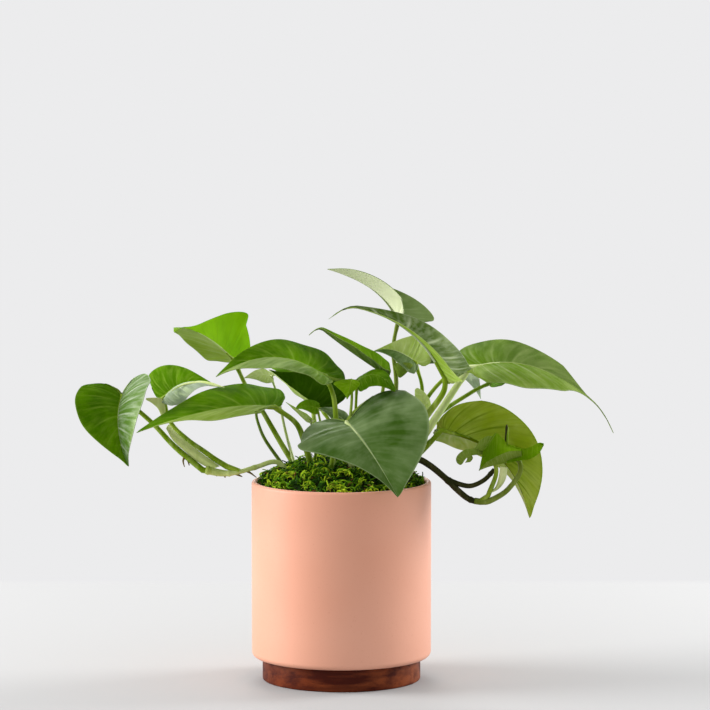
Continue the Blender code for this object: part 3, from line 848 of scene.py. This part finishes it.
# %% The table of leaves
LEAVES = {
    "leaf_far_left": Leaf(
        base=(-156, 14, 200), mid=(-157, -10, 179), tip=(-149, -26, 155),
        right=(-30, -12, 4), left=(22, -20, 18), lobe=0.9, radius=1.8,
        stalk=[(-98, 0, 149), (-118, 6, 165), (-134, 12, 181)],
        wave=0.8, above=("deep", "glossy_painted_glints")),
    "leaf_left_curled": Leaf(
        base=(-127, 20, 198), mid=(-108, 8, 211), tip=(-84, -6, 208),
        right=(9, -15, -9), left=(-8, 12, 17), lobe=(0.4, 0.3), full=(1.3, 1.6),
        skew=1.3, radius=1.7,
        stalk=[(-81, 1, 151.4), (-89, 3.5, 156), (-98, 7, 162), (-109, 13, 169), (-121, 20, 180)],
        wave=1.2, above=("painted_sheen", "deep"), below=("painted_sheen", "deep")),
    "leaf_left_long": Leaf(
        base=(-47, -10, 195), mid=(-88, -22, 195), tip=(-143, -34, 180),
        right=(-1, 32, 12), left=(-6, -30, -4), lobe=(0.8, -1.2), full=(0.8, 1.6),
        skew=(0.85, 0.7), radius=2.0,
        stalk=[(-21, -3, 151), (-27, -2, 172), (-33, -4, 184)],
        wave=0.8, above=("deep", "matte"), below=("deep", "matte")),
    "leaf_upper_left": Leaf(
        base=(-76, 10, 226), mid=(-96, -15, 246), tip=(-115, -40, 255),
        right=(-15, 20, -7), left=(8, 16, 30), lobe=(-1.5, 1.9), full=(0.7, 1.9),
        skew=(0.45, 1.5), radius=1.7,
        stalk=[(-33, 10, 151), (-41.5, 14, 164), (-51, 18, 180), (-57, 20, 190), (-67, 20, 205)],
        hook=(-1, 0, -4), above="fresh", below=("bright", "lime")),
    "leaf_centre_left": Leaf(
        base=(-11, -20, 218), mid=(-48, -35, 233), tip=(-87, -50, 221),
        right=(7, 30, 9), left=(0, -32, -5), lobe=(1.0, 0.4), full=(0.9, 1.0),
        skew=(1.1, 1.0), radius=1.9,
        stalk=[(-9, -34, 146), (-4, -14, 171), (-5, -10, 200)],
        wave=1.2, above=("deep", "mid")),
    "leaf_centre_shaded": Leaf(
        base=(-14, 36, 188), mid=(-33, 40, 201), tip=(-52, 42, 216),
        right=(20, 15, 15), left=(-4, -20, 3), radius=1.5,
        stalk=[(-10, 14, 151), (-7, 26, 175)],
        above=("shade", "pale"), below=("shade", "pale")),
    "leaf_small_oval": Leaf(
        base=(-17, 0, 193), mid=(-25, 0, 195), tip=(-32, 0, 193),
        right=(0, 5, 4), left=(0, -5, -4), lobe=0.3, full=0.6, radius=0.9,
        stalk=[(-12, -4, 153), (-14, -1, 178)],
        above="fresh", below="fresh"),
    "leaf_small_thin": Leaf(
        base=(-22, 4, 184), mid=(-30, 4, 190), tip=(-39, 4, 197),
        right=(1, 6, 1), left=(-1, -5, -1), radius=0.9,
        stalk=[(-19, 6, 153), (-18, 5, 170)],
        above="pale", below="cream"),
    "leaf_front_heart": Leaf(
        base=(4, -24, 186), mid=(21, -54, 168), tip=(39, -74, 140),
        right=(-35, -10, -15), left=(44, 8, 22), lobe=(1.5, 1.0),
        full=(1.05, 0.75), skew=(1.7, 0.7), radius=1.9,
        stalk=[(8, -22, 151), (4, -25, 170)],
        wave=0.5, above="waxy", stem="pale_stalk"),
    "leaf_young_folded": Leaf(
        base=(7, -25, 216), mid=(6, -30, 211), tip=(4, -32, 203),
        right=(6, 2, -2), left=(-12, 2, -1), radius=1.0,
        stalk=[(1, -13, 150), (7, -22, 197)],
        above="fresh", below="fresh"),
    "leaf_middle_arch": Leaf(
        base=(11, -8, 213), mid=(25, -13, 218), tip=(38, -18, 207),
        right=(0, -10, -8), left=(1, 12, 2), lobe=0.2, full=0.6, radius=1.1,
        stalk=[(11, 1, 152), (10, -5, 184)]),
    "leaf_slender": Leaf(
        base=(31, 12, 216), mid=(5, 6, 234), tip=(-21, 0, 255),
        right=(3, 10, 8), left=(1, -18, 6), lobe=0.3, radius=1.4,
        stalk=[(17, 10, 153), (27, 14, 191)],
        hook=(-2, 0, -10), above=("fresh", "mid"), below=("fresh", "mid")),
    "leaf_right_arched": Leaf(
        base=(73, -24, 217), mid=(43, -32, 254), tip=(-7, -40, 271),
        right=(17, 22, 10), left=(10, -20, 2), lobe=(0.0, 0.1), full=(1.1, 1.3),
        skew=(2.0, 4.0), radius=2.2,
        stalk=[(34, -14, 151), (58, -18, 187), (71, -22, 206)],
        hook=(-2, 0, -11), above=("striped", "bright"), below=("striped", "bright")),
    "leaf_topmost": Leaf(
        base=(40.5, 46, 251), mid=(23, 42, 273), tip=(-10, 32, 289),
        right=(25, 14, 7), left=(6, -18, 10), lobe=(0.0, -2.0), full=(1.8, 0.9),
        skew=(1.8, 0.45), radius=1.6,
        stalk=[(30, 24, 156), (39, 53, 200), (37, 54, 229)],
        wave=0.0, above="grey", below=("grey", "cream"), stem="olive_stalk"),
    "leaf_behind_arch": Leaf(
        base=(53, 34, 222), mid=(37, 31, 231), tip=(22, 31, 230),
        right=(1, 10, 19), left=(-1, -11, -8), lobe=(2.2, 0.3), full=(1.3, 1.0),
        skew=(2.2, 1.0), radius=1.4,
        stalk=[(40, 22, 152), (57, 30, 196)],
        above=("pale", "waxy"), below=("pale", "waxy"), fold="striped"),
    "leaf_far_right": Leaf(
        base=(90, 14, 220), mid=(142, 4, 220), tip=(194, -4, 182),
        right=(10, -26, -15), left=(-4, 25, 14), lobe=(0.0, 0.1), full=(1.7, 1.0),
        skew=(0.9, 1.2), radius=2.7,
        stalk=[(42, -3, 150), (57, 4, 171), (74, 10, 196)],
        above=("soft", "mid"), stem="pale_stalk", tail=0.2, hook=(-2, 0, -6)),
    "leaf_hanging_tip": Leaf(
        base=(87, 62, 219), mid=(94, 58, 209), tip=(100, 50, 194),
        right=(-7, -8, -3), left=(5, 10, 2), radius=1.5,
        stalk=[(36, 34, 152), (63, 55, 196)],
        above="painted_sheen", below="pale"),
    "leaf_low_right": Leaf(
        base=(71, 4, 177), mid=(112, 0, 158), tip=(133, -8, 116),
        right=(35, -12, 14), left=(-6, 25, -10.5), lobe=(0.9, 0.2), full=0.82, radius=2.1,
        stalk=[(45, 5, 151), (58, 6, 163)],
        wave=0.8, above=("fresh", "soft"), below=("olive", "pale")),
    "leaf_crumpled": Leaf(
        base=(109, -22, 175), mid=(123, -26, 165), tip=(141, -28, 172),
        right=(-7, -5, -14), left=(4, 10, 5), radius=1.9,
        stalk=[(98, -11, 128), (105, -12, 129), (118, -14, 138), (126, -17, 155)],
        above="mid", below="mid", fold="fresh", stem="olive_stalk"),
    "leaf_curled_tip": Leaf(
        base=(102, -20, 165), mid=(90, -22, 167), tip=(83, -24, 158),
        right=(0, 6, 3), left=(0, -4, -4), radius=1.5,
        stalk=[(103.4, -11.8, 132.4), (109, -16, 151)],
        hook=(5, 0, -3), above="fresh", below="lime"),
    "leaf_small_pale": Leaf(
        base=(59, 14, 188), mid=(58, 16, 197), tip=(53, 20, 205),
        right=(5, 3, 0), left=(-6, 3, 0), full=0.4, radius=1.1,
        stalk=[(37, 12, 153), (49, 13, 169)],
        above="pale", below="pale", stem="pale_stalk"),
    "leaf_small_left": Leaf(
        base=(-50, 16, 214), mid=(-59, 10, 216), tip=(-69, 4, 214),
        right=(0, 8, 3), left=(0, -6, -5), radius=0.9,
        stalk=[(-35, 10, 158), (-40, 20, 175), (-45, 25, 197)],
        above="pale", below="pale", stem="pale_stalk"),
    "leaf_behind_heart": Leaf(
        base=(3, 4, 183), mid=(-6, 8, 189), tip=(-17, 10, 192),
        right=(1, 8, 4), left=(-3, -8, -5), radius=1.1,
        stalk=[(-1, 2, 152), (2, 3, 170)],
        above="waxy", stem="pale_stalk"),
    "leaf_back_low": Leaf(
        base=(2, 38, 166), mid=(13, 72, 173), tip=(24, 106, 165),
        right=(18, -6, -2), left=(-17, 6, -1),
        stalk=[(3, 24, 151)]),
    "leaf_back_left": Leaf(
        base=(-30, 66, 213), mid=(-40, 90, 219), tip=(-50, 114, 213),
        right=(18, 6, -3), left=(-17, -6, -2),
        stalk=[(-17, 30, 152), (-21, 60, 186)]),
    "leaf_back_right": Leaf(
        base=(108, 42, 207), mid=(124, 64, 212), tip=(140, 90, 206),
        right=(7, -20, 3), left=(-3, 16, 5),
        stalk=[(47, 17, 152), (66, 26, 182), (92, 34, 200)]),
    "leaf_back_low_right": Leaf(
        base=(77, 48, 172), mid=(100, 72, 174), tip=(118, 94, 158),
        right=(13, -18, -7), left=(10, 22, 5),
        stalk=[(48, 23, 150), (60, 34, 163)]),
    "leaf_back_far_left": Leaf(
        base=(-57, 48, 189), mid=(-74, 70, 192), tip=(-94, 93, 185),
        right=(4, 24, 3), left=(-6, -22, 0), radius=1.1,
        stalk=[(-43, 18, 152), (-54, 24, 167), (-59, 32, 177), (-61, 42, 185)],
        stem="painted_shade_stalk"),
}
print("leaves:", len(LEAVES))

# %% [markdown]
# ## From grid to blade
#
# A blade is one thin sheet, so it starts as one grid, with half of its columns in each half of the
# leaf. Its first row closes to a point at the stalk and its last one at the tip, and those doubles
# are merged before the sheet gets its thickness. The halves keep finishes of their own, because
# on a folded leaf one of them often catches the light while the other lies in shade.

# %% From grid to blade
# The slots of a leaf's finishes. Each half has one above, and the next slot is UNDER it
RIGHT, LEFT, UNDER = 0, 2, 1
STALK, SHEATH, FOLD, CURL, RIB = 4, 5, 6, 7, 8


def thicken(bm, faces):
    """Gives a sheet its thickness: a shifted copy below it, joined on round the margin."""
    shift = {}
    for face in faces:
        for vert in face.verts:
            shift[vert.co.copy().freeze()] = vert.normal * BLADE_THICKNESS
    made = bmesh.ops.extrude_face_region(bm, geom=faces, use_keep_orig=True)["geom"]
    for vert in (item for item in made if isinstance(item, bmesh.types.BMVert)):
        vert.co -= shift[vert.co.copy().freeze()]
    bmesh.ops.recalc_face_normals(bm, faces=bm.faces)
    return [item for item in made if isinstance(item, bmesh.types.BMFace)]


def make_blade(bm, halves):
    """Shapes a flat grid into both halves of a blade and gives it thickness."""
    across = bm.verts.layers.float["across"]
    vein = bm.verts.layers.float["vein"]
    outline = smooth_route([(x, y, 0) for x, y in HALF_BLADE], BLADE_ROWS + 1)
    bmesh.ops.create_grid(bm, x_segments=2 * BLADE_COLUMNS, y_segments=BLADE_ROWS, size=1.0)
    for vert in bm.verts:
        side = 1 if vert.co.x > 0 else -1
        share = abs(vert.co.x)
        row = (vert.co.y + 1) / 2
        vert[across] = vert.co.x
        vert[vein] = row
        vert.co = halves[side].point(outline[round(row * BLADE_ROWS)], row, share)
    for face in bm.faces:
        face.material_index = RIGHT if sum(vert[across] for vert in face.verts) > 0 else LEFT
    bmesh.ops.remove_doubles(bm, verts=bm.verts, dist=0.04)
    bmesh.ops.dissolve_degenerate(bm, dist=0.01, edges=bm.edges)
    bmesh.ops.recalc_face_normals(bm, faces=bm.faces)
    upwards = halves[1].up + halves[-1].up
    if sum(face.normal.dot(upwards) * face.calc_area() for face in bm.faces) < 0:
        bmesh.ops.reverse_faces(bm, faces=bm.faces)
    bm.normal_update()
    for face in thicken(bm, bm.faces[:]):
        face.material_index += UNDER


print("blade helpers ready")

# %% [markdown]
# ## Folds, curls and wings
#
# A few leaves aren't flat hearts. The two damaged ones are creased and rolled, one has a lobe that
# turns away, and one stalk has thin wings that clasp the next stalk. These parts are narrow sheets
# between two edges, so each is given as two routes side by side, how far the sheet bulges out
# between them, and the slot of its finish.

# %% The table of sheets
SHEET_COLUMNS = 6
Sheet = namedtuple("Sheet", "edge other bulge slot rows", defaults=(SHEATH, 24))
SHEETS = {
    # The stalk's wings, at its foot and below the blade, and the blade's lit, rolled margin
    "leaf_left_curled": [
        Sheet(
            [(-122, 10, 180.5), (-115.5, 8, 173.5), (-106.5, 7, 166), (-96, 4, 158.5),
             (-86, 1, 151.8)],
            [(-124, 5, 178), (-119.5, 5, 170), (-111, 4, 162), (-101.5, 2, 154.5), (-91, 0, 149)],
            (0, -1.2, 0.6),
        ),
        Sheet(
            [(-138.5, 14, 198.2), (-133, 15, 198.6), (-127.5, 18, 197.5), (-125, 18, 191),
             (-126, 17, 185)],
            [(-138.5, 14, 197.8), (-134.4, 15, 195), (-130.4, 16, 191.3), (-128.6, 16, 188),
             (-127, 16, 184)],
            (0, 0.6, 0),
        ),
        Sheet(
            [(-119.9, 9, 204.7), (-112.8, 8, 209.2), (-107, 6, 211), (-99.8, 3, 212.3),
             (-91.2, -2, 211.6), (-82.6, -6, 208.8)],
            [(-119.9, 9, 204.2), (-112.8, 8, 207.9), (-107, 6, 209.2), (-99.9, 3, 209.5),
             (-91.2, -2, 208.8), (-82.6, -6, 208.5)],
            (0, -0.6, 0),
        ),
    ],
    # A lobe that turns away, and a small side leaf below
    "leaf_behind_arch": [
        Sheet(
            [(55.6, 42, 220.2), (60.4, 42, 225.7), (64.2, 42, 227), (69.3, 42, 225.1)],
            [(55.6, 41, 219.9), (60, 40, 220), (64.5, 40, 220.4), (69.7, 40, 220.6)],
            (0, -0.8, 0), FOLD, 16,
        ),
        Sheet(
            [(36.7, 26, 222.4), (42, 24, 222.9), (48.7, 24, 222.7), (50.9, 26, 220.5)],
            [(37, 26, 222), (40.5, 26, 212.4), (44.3, 26, 213.4), (50.9, 26, 220.3)],
            (0, -1.5, 0), CURL, 16,
        ),
    ],
    # The crumpled leaf is creased into flat folds
    "leaf_crumpled": [
        Sheet(
            [(93.8, -24, 167.6), (97, -22, 172.5), (102, -20, 175.8), (106, -21, 176),
             (108, -27, 179)],
            [(94, -24, 167.4), (96.5, -28, 167), (99.5, -30, 167.5), (104, -29, 173),
             (108, -27, 178.9)],
            (0, 0.4, 0), CURL,
        ),
        Sheet(
            [(99.5, -29.6, 167.2), (103.8, -29, 173), (108, -27, 178.9), (113, -25, 174.8),
             (118.5, -24, 170), (126, -22, 167)],
            [(96.6, -25, 152.4), (101, -30, 158), (107, -32, 162), (113, -31, 164.8),
             (118.5, -28, 166.2), (126, -24, 166)],
            (0, 1.2, 0), FOLD,
        ),
        Sheet(
            [(96.6, -25, 152.2), (101, -30.2, 157.8), (107, -32.2, 161.8), (113, -31.2, 164.6),
             (118.5, -28.2, 166), (126, -24, 165.8)],
            [(96.4, -25, 152), (102.9, -24, 154.3), (108.7, -22, 155.5), (116.2, -21, 156.9),
             (121, -20, 158), (127, -20, 159.5)],
            (0, -0.8, 0), CURL,
        ),
        Sheet(
            [(117, -26, 170.8), (121, -23, 168.9), (126, -21, 166.9), (132, -21, 167.8),
             (138, -24, 171.3), (141.8, -26, 170.9)],
            [(116, -24, 157), (121, -24, 158.4), (127, -25, 159.6), (132, -27, 160.7),
             (138, -28, 164.8), (141.6, -26, 170.4)],
            (0, 2.2, 0), FOLD,
        ),
        Sheet(
            [(104, -11.6, 134.4), (108.5, -13, 139), (110.8, -15.5, 147), (111.5, -18, 154)],
            [(104.5, -11.6, 133.8), (111, -12.4, 137.4), (115.5, -13.8, 144), (117, -16, 153)],
            (0, -1.6, 0),
        ),
    ],
    # The youngest leaf is still rolled back on itself
    "leaf_curled_tip": [
        Sheet(
            [(101, -24, 166.6), (95, -24, 167.4), (90, -24, 167.2), (85.5, -23, 165.8),
             (82, -22, 162.8), (80.6, -22, 159.9), (81.4, -22, 157.2), (83.4, -22, 156)],
            [(101, -23, 163.4), (95, -24, 163.2), (91, -24.4, 162.6), (88, -24.4, 161),
             (86.4, -23.6, 159), (85.4, -22.6, 157.4), (84.6, -22, 156.5), (83.6, -22, 155.9)],
            (0, -0.6, 0), CURL,
        ),
        Sheet(
            [(90.5, -23.4, 162.9), (92.2, -22, 161.4), (92, -21, 159.4), (90.5, -20.4, 157.4)],
            [(88, -24, 161.2), (88.4, -22.6, 160), (88, -21.6, 158.6), (87, -21, 157)],
            (0, 0, 0), CURL,
        ),
    ],
}
ALL_SHEETS = {"leaf_crumpled", "leaf_curled_tip"}  # these have no other blade


def add_sheet(bm, sheet):
    """A thin sheet lofted between its two edges."""
    across = bm.verts.layers.float["across"]
    vein = bm.verts.layers.float["vein"]
    columns, rows = SHEET_COLUMNS, sheet.rows
    verts = bmesh.ops.create_grid(bm, x_segments=columns, y_segments=rows, size=1.0)["verts"]
    faces = list({face for vert in verts for face in vert.link_faces})
    edge = smooth_route(sheet.edge, rows + 1)
    other = smooth_route(sheet.other, rows + 1)
    for vert in verts:
        row = round((vert.co.y + 1) / 2 * rows)
        share = (vert.co.x + 1) / 2
        # Painted like half a blade, without its midrib and margin
        vert[across] = 0.1 + 0.85 * share
        vert[vein] = row / rows
        swell = math.sin(math.pi * share)
        vert.co = edge[row].lerp(other[row], share) + Vector(sheet.bulge) * swell
    for face in faces:
        face.material_index = sheet.slot
    bm.normal_update()
    thicken(bm, faces)


print("sheets:", sum(len(sheets) for sheets in SHEETS.values()))

# %% [markdown]
# ## Growing the leaves
#
# A leaf and its stalk grow as one piece, so they are one object here. The stalk is a tube that
# thins upwards and swells at the knee, where it meets the blade. Its tube runs on below the blade
# as a raised midrib, and thins out before the tip. Four stalks grow on a vine, so their tubes start
# at the vine's middle, and all others start a little below the moss.

# %% Build the leaves
STALK_FOOT, STALK_TOP, KNEE = 1.25, 0.8, 1.003  # of the stalk's radius
STALK_SIDES = 10
BURIED = 8.0  # mm of the stalk below its first point
RIB_STEPS = 12
RIB_END = 0.85  # the share of the midrib where its raised part ends
RIB_START = 0.7  # of the stalk's radius
RIB_THIN = 0.25
RIB_SUNK = 0.85  # of the rib's radius, below the blade's upper side
LEAF_SHIFT = 1.7  # of the waves in one leaf against the last one
# Where the stalks that grow on a vine meet its middle
ON_A_VINE = {
    "leaf_far_left": (-91, 0, 148.2), "leaf_left_curled": (-72, -1.6, 148.2),
    "leaf_crumpled": (94, -10.3, 128.5), "leaf_curled_tip": (98, -11, 128.6),
}


def make_leaf(name, leaf, seed):
    """One leaf with its stalk, midrib and any sheets, as one object."""
    bm = bmesh.new()
    bm.verts.layers.float.new("across")
    bm.verts.layers.float.new("vein")
    halves = {side: HalfBlade(leaf, side, seed) for side in (1, -1)}
    if name not in ALL_SHEETS:
        make_blade(bm, halves)
    up = (halves[1].up + halves[-1].up).normalized()
    route = smooth_route([*leaf.stalk, leaf.base], 6 * len(leaf.stalk) + 4)
    if name in ON_A_VINE:
        route = [Vector(ON_A_VINE[name]), *route]
    else:
        route = [route[0] + (route[0] - route[1]).normalized() * BURIED, *route]
    count = len(route)
    slope = (STALK_FOOT - STALK_TOP) / (count - 1)
    radii = [leaf.radius * (STALK_FOOT - slope * i) for i in range(count)]
    radii[-3:] = [leaf.radius * KNEE] * 3
    ribs = 0 if name in ALL_SHEETS else RIB_STEPS
    size = min(halves[1].width / GROWN_WIDTH, 1.0)
    for i in range(1, ribs + 1):
        along = RIB_END * i / ribs
        radius = size * max(leaf.radius * RIB_START * (1 - i / ribs) ** 1.3, RIB_THIN)
        drop = halves[1].turn(along) @ up * (radius * RIB_SUNK)
        route.append(midrib_point(leaf, along) - drop)
        radii.append(radius)
    for face in add_tube(bm, route, radii, STALK_SIDES, STALK):
        centre = face.calc_center_median()
        nearest = min(range(len(route)), key=lambda k: (route[k] - centre).length_squared)
        if nearest > count + 1:
            face.material_index = RIB
    for sheet in SHEETS.get(name, []):
        add_sheet(bm, sheet)
    right, left = pair(leaf.above)
    under_right, under_left = pair(leaf.below)
    slots = {
        RIGHT: FINISHES[right], RIGHT + UNDER: FINISHES[under_right],
        LEFT: FINISHES[left], LEFT + UNDER: FINISHES[under_left],
        STALK: STEMS[leaf.stem], SHEATH: STEMS["sheath"], FOLD: FINISHES[leaf.fold],
        CURL: FINISHES["matte"], RIB: FINISHES[under_right],
    }
    looks = [slots[slot] for slot in sorted(slots)]
    return add_piece(name + "_blade", bm, looks, [name], sharp=60)


made = [make_leaf(name, leaf, LEAF_SHIFT * i) for i, (name, leaf) in enumerate(LEAVES.items())]
print("leaf faces:", sum(len(piece.data.polygons) for piece in made))

# %% [markdown]
# ## The vines
#
# A pothos trails on long stems. Leaves grow from its nodes, which are thicker rings, and short
# brown aerial roots grow there too. The left vine is young and green. The right one is older,
# dark and corky, and forks under its two damaged leaves. A dry shoot and a green one stand at the
# fold of the crumpled leaf.

# %% Build the vines
NODE_LENGTH = 0.018  # of the vine's length
VINE_STEPS = 64
VINE_SIDES = 14
LEFT_RADIUS = 2.9
LEFT_NODES = (0.42, 0.7, 0.97)
NECK = 0.58  # of the left vine's radius, which is thin near the moss and full at its end
RIGHT_RADIUS = 2.3
RIGHT_NODES = (0.45, 0.8)
FORK_RADIUS = 1.8
FORK_NODES = (0.05, 0.9)
FORK_STEPS = 40
FORK_SIDES = 12
SHOOT_SIDES = 8


def vine_radii(route, radius, nodes, swell):
    """Radii that taper along the vine and swell at the nodes, given as shares of its length."""
    radii = []
    for i in range(len(route)):
        share = i / (len(route) - 1)
        ring = max(math.exp(-(((share - node) / NODE_LENGTH) ** 2)) for node in nodes)
        radii.append(radius * (1.05 - 0.15 * share) * (1 + swell * ring))
    return radii


VINE_LEFT = [
    (-38, 0, 149), (-47, 0, 155), (-60, 0, 151.3), (-74, -2, 147.6), (-84, -1, 147), (-96, 0, 149),
]
VINE_RIGHT = [
    (46, -14, 151), (53, -12, 158), (62, -11, 154), (74, -10, 144),
    (81, -10, 137), (88, -10, 131), (93, -10, 128.6), (97, -10.6, 128),
]
VINE_FORK = [(74, -10, 144), (84, -9, 140), (92, -8, 139), (101, -6, 143), (108, -4, 150)]
AERIAL_ROOTS = [
    [(-88.1, -1, 148), (-88.4, -1.6, 146.4), (-88, -1.8, 144.8)],
    [(-82, -1, 146), (-82.4, -1.4, 144.8), (-82, -1.6, 143.8)],
    [(-68, -1, 149), (-64, -1.4, 147), (-60, -2, 144)],
    [(-111, 3, 158), (-112, 2.5, 155), (-111, 2, 151)],
    [(-109, 3, 157), (-108.4, 2.5, 155), (-107.6, 2, 152)],
    [(-76, -1, 147), (-72, -1.6, 145.4), (-70, -2, 144.6)],
]
ROOT_RADII = [1.0, 0.9, 0.75, 0.6, 0.45, 0.3]
DRY_SHOOT = [(115.2, -24, 172), (115.3, -23.6, 176), (115.6, -23, 180), (116, -22.6, 184.3)]
DRY_RADII = [0.8, 0.8, 0.7, 0.65, 0.65, 0.8, 0.9, 0.4]
NEW_SHOOT = [(116, -24.2, 170), (116.4, -24, 175), (116.8, -23.6, 179), (116.9, -23, 182.4)]
NEW_RADII = [0.9, 0.9, 0.8, 0.8, 0.7, 0.6, 0.5, 0.3]


def add_shoot(bm, points, radii, material_index):
    """A short root or shoot, with one radius for each of its steps."""
    add_tube(bm, smooth_route(points, len(radii)), radii, SHOOT_SIDES, material_index)


left_vine = bmesh.new()
route = smooth_route(VINE_LEFT, VINE_STEPS)
radii = vine_radii(route, LEFT_RADIUS, LEFT_NODES, 0.22)
for i in range(VINE_STEPS):
    radii[i] *= min(max(1.7 * i / VINE_STEPS - 0.45, NECK), 1.0)
add_tube(left_vine, route, radii, VINE_SIDES)
for root in AERIAL_ROOTS:
    add_shoot(left_vine, root, ROOT_RADII, 1)
looks = [STEMS["vine"], STEMS["scar"]]
add_piece("vine_left_stem", left_vine, looks, ["vine_left"], sharp=60)

right_vine = bmesh.new()
route = smooth_route(VINE_RIGHT, VINE_STEPS)
add_tube(right_vine, route, vine_radii(route, RIGHT_RADIUS, RIGHT_NODES, 0.18), VINE_SIDES)
route = smooth_route(VINE_FORK, FORK_STEPS)
add_tube(right_vine, route, vine_radii(route, FORK_RADIUS, FORK_NODES, 0.2), FORK_SIDES)
add_shoot(right_vine, DRY_SHOOT, DRY_RADII, 0)
add_shoot(right_vine, NEW_SHOOT, NEW_RADII, 1)
looks = [STEMS["dark_vine"], STEMS["stalk"]]
add_piece("vine_right_stem", right_vine, looks, ["vine_right"], sharp=60)
print("vines ready")

# %% [markdown]
# ## Floor, backdrop and light
#
# The plant stands in a plain pale studio. One large floor does for both the table and the wall
# behind it: past a soft line it turns into an even, lighter grey that only the camera sees. A
# large soft lamp on the left gives the planter its bright side, a smaller one behind on the right
# draws the thin light rim, one from behind and above shines through the leaves, and even light
# from all round keeps the shadows open.

# %% Floor and backdrop
WALL_GREY = colour(236, 236, 237)
FLOOR_GREY = colour(178, 178, 178)
WALL_LINE = 0.43
LINE_SOFTNESS = 0.012
FLOOR_SIZE = 12.0


def floor_finish():
    g = Graph("studio_floor")
    g.finish(FLOOR_GREY, 0.9, 0.1)
    depth = g.node("ShaderNodeSeparateXYZ", {0: g.place()}).outputs["Y"]
    behind = g.ramp(depth, WALL_LINE - LINE_SOFTNESS, WALL_LINE + LINE_SOFTNESS)
    seen = g.node("ShaderNodeLightPath").outputs["Is Camera Ray"]
    wall = g.node("ShaderNodeEmission", {"Color": WALL_GREY, "Strength": 1.0})
    return g.blend(g.math("MULTIPLY", behind, seen), wall)


floor_bm = bmesh.new()
bmesh.ops.create_grid(floor_bm, x_segments=1, y_segments=1, size=FLOOR_SIZE)
floor_mesh = bpy.data.meshes.new("floor")
floor_bm.to_mesh(floor_mesh)
floor_bm.free()
floor_mesh.materials.append(floor_finish())
floor = add_object("floor", floor_mesh)
print("floor of", 2 * FLOOR_SIZE, "metres")

# %% Light
WHITE = (1.0, 1.0, 1.0, 1.0)
WORLD_LIGHT = 0.68
GREY_SHARE = 0.5  # of the wall's grey in the light on matte surfaces
PLANT_CENTRE = (0.0, 0.0, 0.15)
LAMPS = {  # place, size and power
    "key_left": ((-1.75, 0.0, 0.75), 1.2, 48.0),
    "rim_right": ((1.3, 0.5, 0.6), 0.7, 20.0),
    "back_top": ((-0.2, 1.6, 1.3), 1.0, 14.0),
}


def studio_world():
    """Even light. The camera, mirrored and refracted rays see the wall's grey all round."""
    g = Graph("studio", "World", "Background")
    g.feed(g.shader.inputs["Color"], WHITE)
    g.feed(g.shader.inputs["Strength"], WORLD_LIGHT)
    rays = g.node("ShaderNodeLightPath").outputs
    share = GREY_SHARE
    for kind in ("Is Transmission Ray", "Is Glossy Ray", "Is Camera Ray"):
        share = g.math("MAXIMUM", rays[kind], share)
    return g.blend(share, g.node("ShaderNodeBackground", {"Color": WALL_GREY}))


def area_lamp(name, place, size, power):
    """A round, soft lamp that points at the plant."""
    lamp = bpy.data.lights.new(name, "AREA")
    lamp.shape = "DISK"
    lamp.size = size
    lamp.energy = power
    holder = add_object(name, lamp)
    holder.location = place
    aim = Vector(PLANT_CENTRE) - Vector(place)
    holder.rotation_euler = aim.to_track_quat("-Z", "Y").to_euler()


bpy.context.scene.world = studio_world()
for name, settings in LAMPS.items():
    area_lamp(name, *settings)
bpy.context.scene.view_settings.view_transform = "Standard"
print("studio ready")
